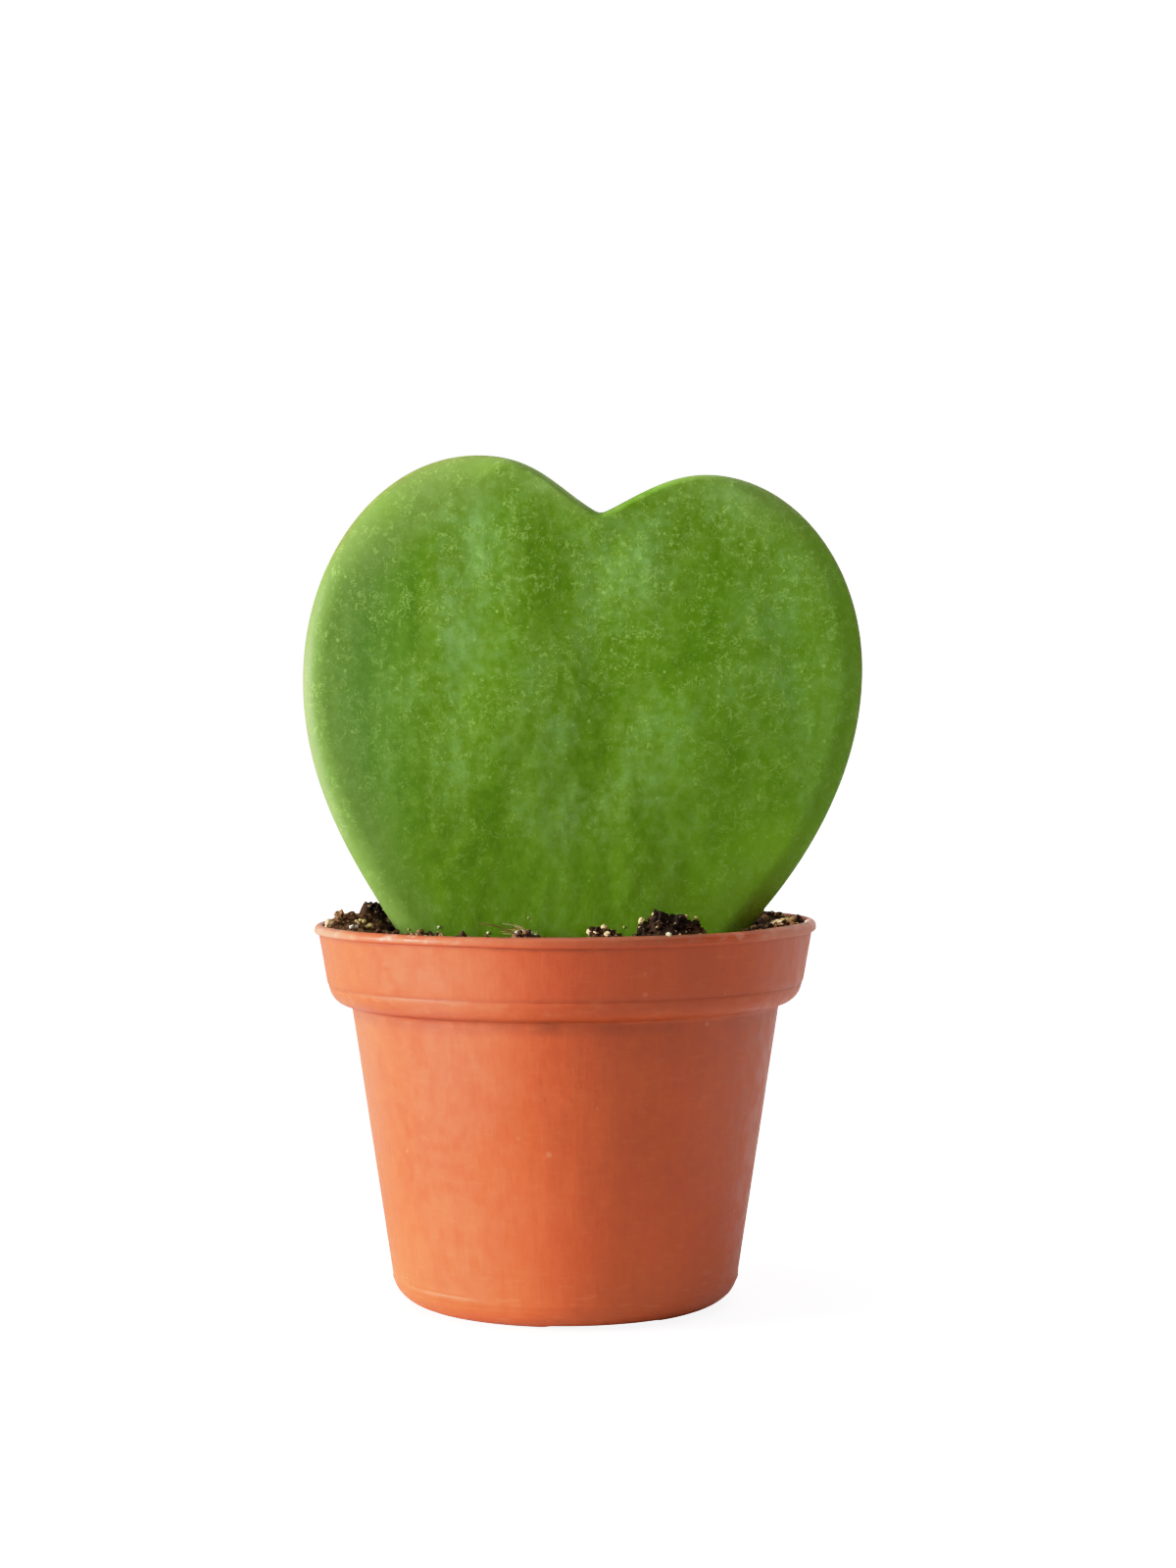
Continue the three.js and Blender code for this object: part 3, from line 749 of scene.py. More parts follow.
def tinted_matter(groups, name, stops, fine, bump_mm, roughness, sand=0.0):
    """A rough natural material whose colour follows each piece's own tint, with pale grains of sand in it."""
    material, tree, shader = new_material(name)
    body = shades(tree, attribute_value(tree, "tint"), stops)
    stains = patchy(tree, groups, fine * 0.6, 4.0, 0.35, 0.7)
    body = mix(tree, stains, body, (0.72, 0.66, 0.6, 1.0), "MULTIPLY")
    grains = speckled(tree, groups, fine * 0.9, share=0.3, size=0.45)
    body = mix(tree, product(tree, grains, sand), body, colour(208, 180, 134))
    tree.links.new(body, shader.inputs["Base Color"])
    grain = grained(tree, groups, fine, fine * 0.3, 1.5)
    tree.links.new(bumped(tree, grain, 0.8, bump_mm), shader.inputs["Normal"])
    shader.inputs["Roughness"].default_value = roughness
    shader.inputs["Specular IOR Level"].default_value = 0.15
    return material


def studio_white():
    """Matt white paper. It looks a little brighter than the light it throws back on the pot."""
    material, tree, shader = new_material("studio white")
    faint = add_node(tree, "ShaderNodeTexNoise", {"Vector": surface_place(tree), "Scale": 3.0})
    body = mix(tree, faint.outputs["Fac"], colour(221, 221, 221), colour(224, 224, 224))
    tree.links.new(body, shader.inputs["Base Color"])
    seen = add_node(tree, "ShaderNodeLightPath").outputs["Is Camera Ray"]
    glow = mix(tree, seen, (0.0, 0.0, 0.0, 1.0), (FLOOR_GLOW, FLOOR_GLOW, FLOOR_GLOW, 1.0))
    tree.links.new(glow, shader.inputs["Emission Color"])
    # It is clear from below, so that the foot of the pot can be seen
    backfacing = add_node(tree, "ShaderNodeNewGeometry").outputs["Backfacing"]
    tree.links.new(math_node(tree, "SUBTRACT", 1.0, backfacing), shader.inputs["Alpha"])
    shader.inputs["Emission Strength"].default_value = 1.0
    shader.inputs["Roughness"].default_value = 0.9
    return material


# Pot

def collar_radius(z):
    """The collar's outer radius at a height."""
    return RIM_RADIUS - LIP_OVERHANG - COLLAR_FLARE * (POT_HEIGHT - LIP_HEIGHT - z)


def body_radius(z):
    """The body's outer radius at a height."""
    return BODY_TOP_RADIUS - BODY_FLARE * (STEP_Z - z)


def wall_outline(inset, top_z):
    """The wall's outline from the heel up to a height on the collar, shifted inwards by an inset."""
    step_z = STEP_Z + inset
    body_top = BODY_TOP_RADIUS - inset
    bead_radius = collar_radius(GROOVE_Z) - BEAD_SET_IN - inset
    bead_z = GROOVE_Z - GROOVE_HALF_HEIGHT
    heel = (body_radius(HEEL_HEIGHT) - inset - FOOT_RADIUS, HEEL_HEIGHT - inset)
    fillet_start = (body_radius(step_z - STEP_FILLET) - inset, step_z - STEP_FILLET)
    step = (body_top + STEP_FILLET / 2, step_z + STEP_RISE)
    points = arc((FOOT_RADIUS, HEEL_HEIGHT), heel, -90, 0, 14)
    points += bezier(fillet_start, (body_top, step_z), step)
    points += bezier(step, (bead_radius - SHOULDER_ROUND, step_z + SHOULDER_ROUND), (bead_radius, bead_z))[1:]
    points.append((collar_radius(top_z) - inset, top_z))
    return points


def groove():
    """The fine groove above the bead at the collar's lower edge."""
    depth_shares = [(0.35, 0.3), (0.8, 0.0), (1.0, -0.3), (0.8, -0.6)]
    points = [
        (collar_radius(GROOVE_Z) - GROOVE_DEPTH * share, GROOVE_Z - GROOVE_HALF_HEIGHT * rise)
        for share, rise in reversed(depth_shares)]
    return points + [(collar_radius(GROOVE_Z + GROOVE_HALF_HEIGHT), GROOVE_Z + GROOVE_HALF_HEIGHT)]


def pot_section():
    """The closed section of the pot, from the middle of the foot round the wall and back inside."""
    ring_inner = FOOT_RADIUS - FOOT_RING_WIDTH
    underside = [
        (0, 0), (PAD_RADIUS, 0), (PAD_RADIUS + CHANNEL_SLOPE, CHANNEL_HEIGHT),
        (ring_inner - CHANNEL_SLOPE, CHANNEL_HEIGHT), (ring_inner, 0)]
    outside = wall_outline(0, GROOVE_Z)[:-1] + groove()
    collar_top = POT_HEIGHT - LIP_HEIGHT
    lip = [(collar_radius(collar_top), collar_top)]
    lip += arc((RIM_RADIUS - LIP_CORNER, collar_top + LIP_CORNER), (LIP_CORNER, LIP_CORNER), -90, 0, 6)
    lip += arc(
        (RIM_RADIUS - LIP_TOP_ROUND, POT_HEIGHT - LIP_TOP_ROUND), (LIP_TOP_ROUND, LIP_TOP_ROUND), 0, 90, 10)
    edge = collar_radius(POT_HEIGHT) - WALL + LIP_EDGE_RADIUS
    lip += arc((edge, POT_HEIGHT - LIP_EDGE_RADIUS), (LIP_EDGE_RADIUS, LIP_EDGE_RADIUS), 90, 180, 6)
    inside = wall_outline(WALL, collar_top)[::-1]
    floor = [(radius, z + WALL) for radius, z in underside[::-1]]
    section = underside + outside + lip + inside + floor
    heel_start = len(underside) - 1
    heel_end = next(i for i in range(heel_start, len(section)) if section[i][1] > HEEL_HEIGHT)
    line = spaced(section[:heel_start + 1], SECTION_STEP)
    line += spaced(section[heel_start:heel_end], HEEL_STEP)
    line += spaced(section[heel_end - 1:], SECTION_STEP)
    return line + [section[-1]]


def foot_notch(x, y):
    """1 where the foot is notched for drainage, 0 between the notches."""
    angle = math.atan2(y, x)
    half = NOTCH_WIDTH / 2 / math.hypot(x, y)
    quarter = 2 * math.pi / NOTCHES
    off = abs((angle - FIRST_NOTCH_ANGLE + quarter / 2) % quarter - quarter / 2)
    return 1 - smoothstep(half * (1 - NOTCH_SOFTNESS), half * (1 + NOTCH_SOFTNESS), off)


def shape_pot_point(x, y, z):
    """Lifts the foot at its notches and gives the moulded wall its slight unevenness."""
    radius = math.hypot(x, y)
    if z < NOTCH_HEIGHT and radius > FOOT_RADIUS - FOOT_RING_WIDTH - 1:
        z += (NOTCH_HEIGHT - z) * foot_notch(x, y)
    angle = math.atan2(y, x)
    around = Vector((WOBBLE_TURNS * math.cos(angle), WOBBLE_TURNS * math.sin(angle), z * WOBBLE_RISE))
    share = LOW_WOBBLE + (1 - LOW_WOBBLE) * smoothstep(*WOBBLE_GROWS, z)
    shift = LIP_WOBBLE * share * (noise.noise(around) - WOBBLE_MIDDLE)
    # Faint level ridges and grooves round the heel, in broken lengths
    if radius > FOOT_RADIUS - 1:
        for line_z, line_seed, line_height in HEEL_LINES:
            where = Vector((HEEL_LINE_TURNS * math.cos(angle), HEEL_LINE_TURNS * math.sin(angle), line_seed))
            broken = max(0.0, noise.noise(where) + HEEL_LINE_COVER)
            shift += line_height * broken * math.exp(-(((z - line_z) / HEEL_LINE_WIDTH) ** 2))
    stretch = 1 + shift / max(radius, FOOT_RADIUS)
    return x * stretch, y * stretch, z


def rim_shift(x, z):
    """How far a point near the rim is moved up: the collar leans to the left and the lip sags in front."""
    lean = COLLAR_LEAN * x / RIM_RADIUS * smoothstep(STEP_Z - 3, STEP_Z + 1, z)
    lip_bottom = POT_HEIGHT - LIP_HEIGHT
    sag_below = LIP_SAG * smoothstep(*SAG_LEFT, x) * smoothstep(lip_bottom - 1.5, lip_bottom, z)
    sag_above = LIP_SAG * smoothstep(lip_bottom, POT_HEIGHT - 0.4, z)
    return lean - max(sag_below, sag_above) * smoothstep(*SAG_RIGHT, x)


def pot_dust_and_sheen(x, z):
    """How much pale dust and painted sheen lies on the pot: most of it at both sides, and on both ends of the
    lip.
    """
    wall = sum(zone(x, z, span) for span in WALL_DUST_AND_SHEEN) * (1 - smoothstep(*COLLAR_START, z))
    above = sum(zone(x, z, span) for span in COLLAR_DUST_AND_SHEEN + LIP_DUST_AND_SHEEN)
    return wall + above + patches_at(x, z, DUST_AND_SHEEN_PATCHES)


def settle_pot(pot):
    """Stores each point's level, dust and painted sheen, and shade for the plastic, then leans the collar and
    sags the lip.
    """
    places = [vertex.co / MM for vertex in pot.data.vertices]
    add_value(pot, "level", [place.z * MM for place in places])
    add_value(pot, "dust_and_sheen", [pot_dust_and_sheen(place.x, place.z) for place in places])
    add_value(pot, "shade", [patches_at(place.x, place.z, PLASTIC_PATCHES) for place in places])
    for vertex, place in zip(pot.data.vertices, places):
        vertex.co.z += rim_shift(place.x, place.z) * MM


def cut_drain_holes(pot):
    """Cuts the ring of round holes through the channel under the pot."""
    ring_middle = (PAD_RADIUS + FOOT_RADIUS - FOOT_RING_WIDTH) / 2
    vertices, faces = [], []
    for i in range(DRAIN_HOLES):
        angle = (i + 0.5) * 2 * math.pi / DRAIN_HOLES
        low, high = DRAIN_CUT
        points = [(0, low), (DRAIN_RADIUS, low), (DRAIN_RADIUS, high), (0, high)]
        hole_vertices, hole_faces = revolve(points, DRAIN_SIDES)
        start = len(vertices)
        shift_x, shift_y = ring_middle * math.cos(angle), ring_middle * math.sin(angle)
        vertices += [(x + shift_x, y + shift_y, z) for x, y, z in hole_vertices]
        faces += [tuple(corner + start for corner in face) for face in hole_faces]
    cutter = mesh_object("drain_cutter", vertices, faces)
    apply_boolean(pot, cutter, "DIFFERENCE")


def apply_boolean(thing, other, operation):
    """Joins or cuts one mesh by another, which is then removed."""
    modifier = thing.modifiers.new("join", "BOOLEAN")
    modifier.object = other
    modifier.operation = operation
    modifier.solver = "MANIFOLD"
    graph = bpy.context.evaluated_depsgraph_get()
    result = bpy.data.meshes.new_from_object(thing.evaluated_get(graph))
    thing.modifiers.clear()
    thing.data = result
    bpy.data.objects.remove(other)


def make_pot(material):
    """The pot, as one mesh."""
    vertices, faces = revolve(pot_section(), POT_SIDES)
    vertices = [shape_pot_point(*point) for point in vertices]
    pot = mesh_object("pot_body", vertices, faces)
    cut_drain_holes(pot)
    settle_pot(pot)
    pot.data.materials.clear()
    pot.data.materials.append(material)
    pot.data.polygons.foreach_set("use_smooth", [True] * len(pot.data.polygons))
    pot.data.set_sharp_from_angle(angle=math.radians(50))
    return pot


# Soil

def soil_height(x, y):
    """The soil's surface without its crumbs."""
    rise = 0.0
    for mound_x, mound_y, height, spread in MOUNDS + HEAPS:
        rise += height * math.exp(-((x - mound_x) ** 2 + (y - mound_y) ** 2) / spread ** 2)
    bank_height, bank_y, bank_width, bank_reach = BANK
    along = smoothstep(bank_reach, bank_reach - BANK_FADE, abs(x))
    rise += bank_height * math.exp(-(((y - bank_y) / bank_width) ** 2)) * along
    rise *= 1 - RIM_FADE * smoothstep(*RIM_FADE_REACH, math.hypot(x, y))
    return SOIL_LEVEL + rise - SURFACE_DROP + uneven_by(x, y, SWELLS)


def uneven_by(x, y, kind):
    """One kind of unevenness at a place: how fast it changes across, how high it is, and which pattern."""
    pace, height, pattern = kind
    return height * noise.noise(Vector((x * pace, y * pace, pattern)))


def soil_roughness(x, y):
    """Small lumps on the surface."""
    return uneven_by(x, y, LUMPS) + uneven_by(x, y, FINE_LUMPS)


def wall_inside(z):
    """How far out the soil reaches at a height in the collar."""
    return collar_radius(z) - WALL - SOIL_EDGE_GAP


def make_soil(material):
    """The filling of the pot, with a lumpy top that reaches the wall."""
    side = [(radius, z) for radius, z in wall_outline(WALL + SOIL_EDGE_GAP, SOIL_LEVEL - 1) if z > SOIL_FLOOR]
    bottom = [(0, SOIL_FLOOR), (FOOT_RADIUS - FOOT_RING_WIDTH, SOIL_FLOOR)]
    top = [(ring / SOIL_RINGS, SOIL_LEVEL) for ring in range(SOIL_RINGS, -1, -1)]
    vertices, faces = revolve(bottom + side + top, SOIL_SIDES)
    shaped = []
    for x, y, z in vertices:
        if z == SOIL_LEVEL:
            rim = wall_inside(SOIL_LEVEL)
            x, y = x * rim, y * rim
            z = soil_height(x, y)
            spread = wall_inside(z) / rim
            x, y = x * spread, y * spread
            z += soil_roughness(x, y) * (1 - smoothstep(0.93, 1.0, math.hypot(x, y) / (rim * spread)))
        shaped.append((x, y, z))
    soil = mesh_object("soil_bed", shaped, faces)
    tints = [BED_TINT * (0.5 + 0.5 * noise.noise(Vector(point) * 0.9)) for point in shaped]
    tints = [min(BED_TINT, max(0.0, tint)) for tint in tints]
    add_value(soil, "tint", [settled_tint(x, y, tint) for (x, y, _), tint in zip(shaped, tints)])
    soil.data.materials.append(material)
    return soil


def icosphere(level):
    """Points and faces of a ball of triangles."""
    ball = bmesh.new()
    bmesh.ops.create_icosphere(ball, subdivisions=level, radius=1.0)
    ball.verts.ensure_lookup_table()
    points = [vertex.co.copy() for vertex in ball.verts]
    faces = [tuple(vertex.index for vertex in face.verts) for face in ball.faces]
    ball.free()
    return points, faces


def clear_of_leaf(x, y, z, radius):
    """Whether a lump of this radius lies beside the blade and not in it."""
    left, right = [edge_x + (z - edge_z) * slope for edge_z, edge_x, slope in (LEFT_EDGE, RIGHT_EDGE)]
    if not left - radius * BESIDE_SHARE < x < right + radius * BESIDE_SHARE:
        return True
    return abs(y - blade_middle(x)) > BLADE_THICKNESS / 2 + radius * BEFORE_SHARE


def faces_of(*pieces):
    """The faces of one or more pieces, to find what lies under a point or behind it."""
    points, faces = [], []
    for piece in pieces:
        start = len(points)
        points += [vertex.co for vertex in piece.data.vertices]
        faces += [[corner + start for corner in face.vertices] for face in piece.data.polygons]
    return BVHTree.FromPolygons(points, faces)


def settled(points, ground):
    """Lowers a lump that stands clear of what lies under it until its lowest side is pressed in."""
    above = []
    for x, y, z in points:
        surface = ground.ray_cast(Vector((x * MM, y * MM, 2 * POT_HEIGHT * MM)), Vector((0, 0, -1)))[0]
        if surface:
            above.append(z - surface.z / MM)
    drop = max(0.0, min(above) + PRESS) if above else 0.0
    return [(x, y, z - drop) for x, y, z in points]


def scatter_lumps(name, items, level, roughness, material, ground, held=0, smooth=False, knobs=1.7):
    """Joins rough lumps into one mesh. Each item is (x, y, z, radii, turn, tint).

    The first ones, so many as are held, stay where they are, and the others are settled on the ground.
    """
    ball_points, ball_faces = icosphere(level)
    vertices, faces, tints = [], [], []
    for index, (x, y, z, radii, turn, tint) in enumerate(items):
        start = len(vertices)
        shaped = []
        for point in ball_points:
            lump = 1 + roughness * noise.noise(point * knobs + Vector((index * 3.1, index * 1.3, 0)))
            place_here = turn @ Vector(a * b * lump for a, b in zip(point, radii))
            shaped.append((x + place_here.x, y + place_here.y, z + place_here.z))
        vertices += shaped if index < held else settled(shaped, ground)
        faces += [tuple(corner + start for corner in face) for face in ball_faces]
        tints += [tint] * len(ball_points)
    made = mesh_object(name, vertices, faces, smooth)
    add_value(made, "tint", tints)
    made.data.materials.append(material)
    return made


def random_turn(draw):
    """A rotation drawn at random."""
    return (
        Matrix.Rotation(draw.uniform(0, 2 * math.pi), 3, "Z")
        @ Matrix.Rotation(draw.uniform(0, math.pi), 3, "X")
        @ Matrix.Rotation(draw.uniform(0, 2 * math.pi), 3, "Y"))


def soil_spot(draw, radius, reach=None, keep_dark=False):
    """A place on the soil where a lump of this radius lies clear of the leaf and the wall."""
    while True:
        angle = draw.uniform(0, 2 * math.pi)
        limit = (reach or wall_inside(SOIL_LEVEL + 1)) - radius * WALL_SHARE
        distance = limit * math.sqrt(draw.random())
        x, y = distance * math.cos(angle), distance * math.sin(angle)
        z = soil_height(x, y)
        if clear_of_leaf(x, y, z, radius) and not (keep_dark and on_front_bank(x, y)):
            return x, y, z


def on_front_bank(x, y):
    """Whether a place lies in the strips beside the leaf, where the photograph shows each pale piece."""
    strip = SIDE_STRIP if abs(x) > SIDE_STRIP_X else FRONT_STRIP
    return strip[0] < y < strip[1]


def settled_tint(x, y, tint):
    """Paler and browner at the left, painted light where light from the left falls on the soil, and darker on
    the front mound, painted shade among its lumps.
    """
    lit_left = smoothstep(*LIT_LEFT_ACROSS, x) * smoothstep(*LIT_LEFT_FRONT, y) * smoothstep(*LIT_LEFT_BACK, y)
    tint += LIT_LEFT_PALENESS * lit_left * (1 - tint)
    front_x, front_y, _, spread = FRONT_MOUND
    mound_shade = smoothstep(*FRONT_SHADE_REACH, math.hypot(x - front_x, y - front_y) / spread)
    return tint * (1 - FRONT_MOUND_SHADE * mound_shade)


def make_crumbs(material, ground):
    """Dark crumbs all over the soil, many of them brown or tan."""
    draw = random.Random(SOIL_SEED)
    items = []
    for _ in range(CRUMBS):
        radius = CRUMB_RADIUS + CRUMB_SPREAD * draw.random() ** CRUMB_RARITY
        x, y, z = soil_spot(draw, radius)
        radii = (radius, radius * draw.uniform(0.6, 1.0), radius * draw.uniform(0.5, 0.9))
        kind = draw.random()
        tint = draw.uniform(0.0, 0.42) if kind < DARK_CRUMBS else draw.uniform(0.42, 0.74)
        if kind > 1 - TAN_CRUMBS:
            tint = draw.uniform(0.75, 1.0)
        lift = radius * draw.uniform(0.1, 0.9)
        items.append((x, y, z + lift, radii, random_turn(draw), settled_tint(x, y, tint)))
    return scatter_lumps("soil_crumbs", items, level=1, roughness=0.5, material=material, ground=ground)


# Clods seen in the photograph: x, y, height above the soil, radius and tint
SEEN_CLODS = [
    (9.4, -7.6, 0.4, 0.85, 0.15), (11.2, -8.2, 0.5, 1.1, 0.1), (13.0, -8.0, 0.4, 1.1, 0.05),
    (14.7, -7.6, -0.5, 0.8, 0.1), (10.6, -7.4, 1.1, 0.75, 0.5), (9.9, -7.2, 0.9, 0.6, 0.45),
    (10.75, -7.2, 1.8, 0.3, 0.2), (8.3, -7.4, 0.5, 0.4, 0.3), (15.8, -7.4, 0.3, 0.4, 0.25),
    (-23.7, 0.8, 0.5, 0.6, 0.1), (-22.9, 0.6, 0.3, 0.7, 0.2), (-24.6, 0.4, 0.3, 0.55, 0.35),
    (-25.7, 0.0, 0.4, 0.6, 0.2), (-27.0, -0.3, 0.5, 0.6, 0.4), (-21.8, -2.6, 0.6, 0.9, 0.05),
    (-20.6, -3.4, 0.6, 0.8, 0.05), (3.6, -5.6, 0.2, 0.7, 0.15), (5.2, -5.4, 0.1, 0.5, 0.25),
    (-4.4, -4.6, 0.2, 0.4, 0.2), (21.6, -4.0, 0.3, 0.5, 0.1), (23.0, -3.4, 0.3, 0.5, 0.2),
    (28.0, 0.6, 0.3, 0.5, 0.05), (-23.5, 2.6, 0.0, 0.5, 0.0), (-22.55, 2.6, 0.35, 0.6, 0.0),
]
# Clods under the two pale grains on the right shoulder of the front mound
SHOULDER_CLODS = [(14.3, -7.5, 0.35, 0.5, 0.1), (15.4, -7.5, 0.45, 0.5, 0.15)]


def seen_clods(clods, draw):
    """Clods whose places are known, as items for scatter_lumps."""
    return [(
        x, y, soil_height(x, y) + above, (radius, radius * 0.9, radius * 0.8), random_turn(draw),
        settled_tint(x, y, tint)) for x, y, above, radius, tint in clods]


def make_clods(material, ground):
    """Larger dark clods: those seen in the photograph, and more, most of them on the mounds."""
    draw = random.Random(SOIL_SEED + 1)
    items = seen_clods(SEEN_CLODS, draw)
    while len(items) < CLODS:
        radius = draw.uniform(*CLOD_RADII)
        if len(items) < CLODS * CLODS_ON_MOUNDS:
            mound_x, mound_y, _, spread = MOUNDS[draw.choice(CLOD_MOUNDS)]
            x = mound_x + draw.gauss(0, spread * CLOD_SPREAD)
            y = mound_y + draw.gauss(0, spread * CLOD_SPREAD)
            z = soil_height(x, y)
            if math.hypot(x, y) > wall_inside(z) - radius or not clear_of_leaf(x, y, z, radius):
                continue
        else:
            x, y, z = soil_spot(draw, radius)
        radii = (radius, radius * draw.uniform(0.7, 1.0), radius * draw.uniform(0.6, 0.9))
        turn = random_turn(draw)
        tint = settled_tint(x, y, draw.uniform(0.0, 0.45))
        items.append((x, y, z + radius * 0.4, radii, turn, tint))
    items += seen_clods(SHOULDER_CLODS, draw)
    return scatter_lumps("soil_clods", items, level=3, roughness=0.9, material=material, ground=ground)


# Granules seen in the photograph: x, y, radius and tint from cream (0) through yellow (0.5) to white (1)
SEEN_GRANULES = [
    (-24.1, -0.7, 0.3, 0.35), (-23.4, -0.8, 0.26, 0.5), (-24.6, -0.6, 0.22, 0.3), (-23.8, -1.1, 0.2, 0.6),
    (-23.2, -0.4, 0.22, 0.2), (-25.5, -1.9, 0.27, 1.0), (-24.9, -1.7, 0.25, 0.95),
    (-23.9, 1.2, 0.42, 0.35), (-23.3, 0.8, 0.28, 0.2), (-5.6, -4.4, 0.34, 1.0), (-5.0, -4.9, 0.26, 0.9),
    (-4.2, -4.4, 0.3, 1.0), (-3.5, -4.7, 0.2, 0.9),
    (3.0, -5.2, 0.5, 0.1), (3.7, -5.9, 0.3, 0.0), (4.6, -5.0, 0.46, 0.1), (5.3, -4.9, 0.34, 0.2),
    (16.8, -7.6, 0.26, 0.2), (19.2, -5.4, 0.24, 0.5), (18.0, -5.6, 0.2, 1.0),
    (21.9, -4.4, 0.3, 0.1), (23.4, -4.8, 0.26, 0.0), (26.1, 0.4, 0.32, 0.5), (26.6, 1.0, 0.36, 0.45),
    (27.2, 0.2, 0.3, 0.2), (26.9, -0.9, 0.24, 0.5), (27.7, -0.4, 0.22, 0.3), (26.0, 2.2, 0.34, 0.6),
]
# Grains on top of others or on the lip: x, y, z, radius and tint
RAISED_GRANULES = [
    (10.4, -7.2, 47.1, 0.24, 0.4), (11.6, -26.95, 45.33, 0.3, 0.75), (-27.5, -8.4, 45.5, 0.56, 0.0),
    (9.0, -7.4, 45.75, 0.38, 0.3), (14.2, -7.4, 46.15, 0.3, 0.45), (15.4, -7.4, 46.05, 0.26, 0.45),
    (28.8, -2.0, 45.25, 0.28, 0.95)]
# Grains stuck to the front of the leaf: x, z, radius and tint
STUCK_GRANULES = [
    (-18.7, 44.3, 0.15, 0.5), (-15.1, 44.6, 0.17, 0.9), (-9.2, 43.9, 0.16, 0.9), (-16.0, 43.9, 0.1, 0.2),
    (-4.4, 45.7, 0.11, 0.5), (7.0, 44.6, 0.13, 0.5),
]


def make_granules(material, ground, leaf):
    """Pale grit and perlite: those seen in the photograph, and more at random places."""
    draw = random.Random(SOIL_SEED + 2)
    items = []
    skin = faces_of(leaf)
    for x, z, radius, tint in STUCK_GRANULES:
        spot = skin.ray_cast(Vector((x * MM, -POT_HEIGHT * MM, z * MM)), Vector((0, 1, 0)))[0] / MM
        items.append((x, spot.y, z, (radius, radius, radius * 0.85), random_turn(draw), tint))
    for x, y, z, radius, tint in RAISED_GRANULES:
        items.append((x, y, z, (radius, radius * 0.9, radius * 0.85), random_turn(draw), tint))
    for x, y, radius, tint in SEEN_GRANULES:
        z = soil_height(x, y) + radius
        items.append((x, y, z, (radius, radius * 0.85, radius * 0.8), random_turn(draw), tint))
    for _ in range(GRANULES):
        radius = draw.uniform(*GRANULE_RADII)
        x, y, z = soil_spot(draw, radius, keep_dark=True)
        tint = draw.choice(GRANULE_TINTS)
        radii = (radius, radius * draw.uniform(0.7, 1.0), radius * draw.uniform(0.6, 0.9))
        items.append((x, y, z + radius * 0.5, radii, random_turn(draw), tint))
    return scatter_lumps(
        "pale_granules", items, level=3, roughness=0.6, material=material, ground=ground,
        held=len(STUCK_GRANULES), smooth=True, knobs=2.3)


# Splinters seen in the photograph: x, y, half length, half thickness, rise to the right and tint
SEEN_CHIPS = [
    (25.3, -1.8, 0.8, 0.16, 0.2, 0.9), (22.2, -4.2, 0.5, 0.15, 0.3, 0.8), (26.4, -1.2, 0.6, 0.14, -0.1, 0.85),
    (-24.3, 1.4, 0.6, 0.14, 0.1, 0.75),
]


def make_chips(material, ground):
    """Thin splinters of bark and wood lying on the soil."""
    draw = random.Random(SOIL_SEED + 3)
    items = []
    for x, y, radius, thick, rise, tint in SEEN_CHIPS:
        turn = Matrix.Rotation(-rise, 3, "Y") @ Matrix.Rotation(0.9, 3, "X")
        radii = (radius, radius * 0.45, thick)
        items.append((x, y, soil_height(x, y) + SEEN_CHIP_LIFT, radii, turn, tint))
    for _ in range(CHIPS):
        radius = draw.uniform(*CHIP_HALF_LENGTHS)
        x, y, z = soil_spot(draw, radius, keep_dark=True)
        radii = (radius, radius * draw.uniform(0.2, 0.45), radius * draw.uniform(0.1, 0.22))
        heading = Matrix.Rotation(draw.uniform(0, 2 * math.pi), 3, "Z")
        turn = heading @ Matrix.Rotation(draw.gauss(0, 0.3), 3, "Y")
        items.append((x, y, z + CHIP_LIFT, radii, turn, draw.random()))
    return scatter_lumps("wood_chips", items, level=2, roughness=0.8, material=material, ground=ground)


def tube(points, radius, sides=7):
    """A closed tube along points, thinner at its ends."""
    vertices, faces = [], []
    count = len(points)
    for i, point in enumerate(points):
        ahead = points[min(i + 1, count - 1)] - points[max(i - 1, 0)]
        across = ahead.cross(Vector((0.3, 0.2, 1.0))).normalized()
        up = across.cross(ahead).normalized()
        thin = radius * (0.35 + 0.65 * math.sin(math.pi * (i + 0.5) / count))
        for k in range(sides):
            angle = 2 * math.pi * k / sides
            vertices.append(tuple(point + thin * (across * math.cos(angle) + up * math.sin(angle))))
    for i in range(count - 1):
        for k in range(sides):
            j = (k + 1) % sides
            faces.append((i * sides + k, i * sides + j, (i + 1) * sides + j, (i + 1) * sides + k))
    faces.append(tuple(range(sides))[::-1])
    faces.append(tuple(range((count - 1) * sides, count * sides)))
    return vertices, faces


# A fibre seen in the photograph, at the foot of the leaf
SEEN_FIBRE = [(-10.2, -2.9, 45.1), (-8.6, -3.0, 44.9), (-7.0, -3.3, 44.4), (-5.4, -3.8, 43.7)]


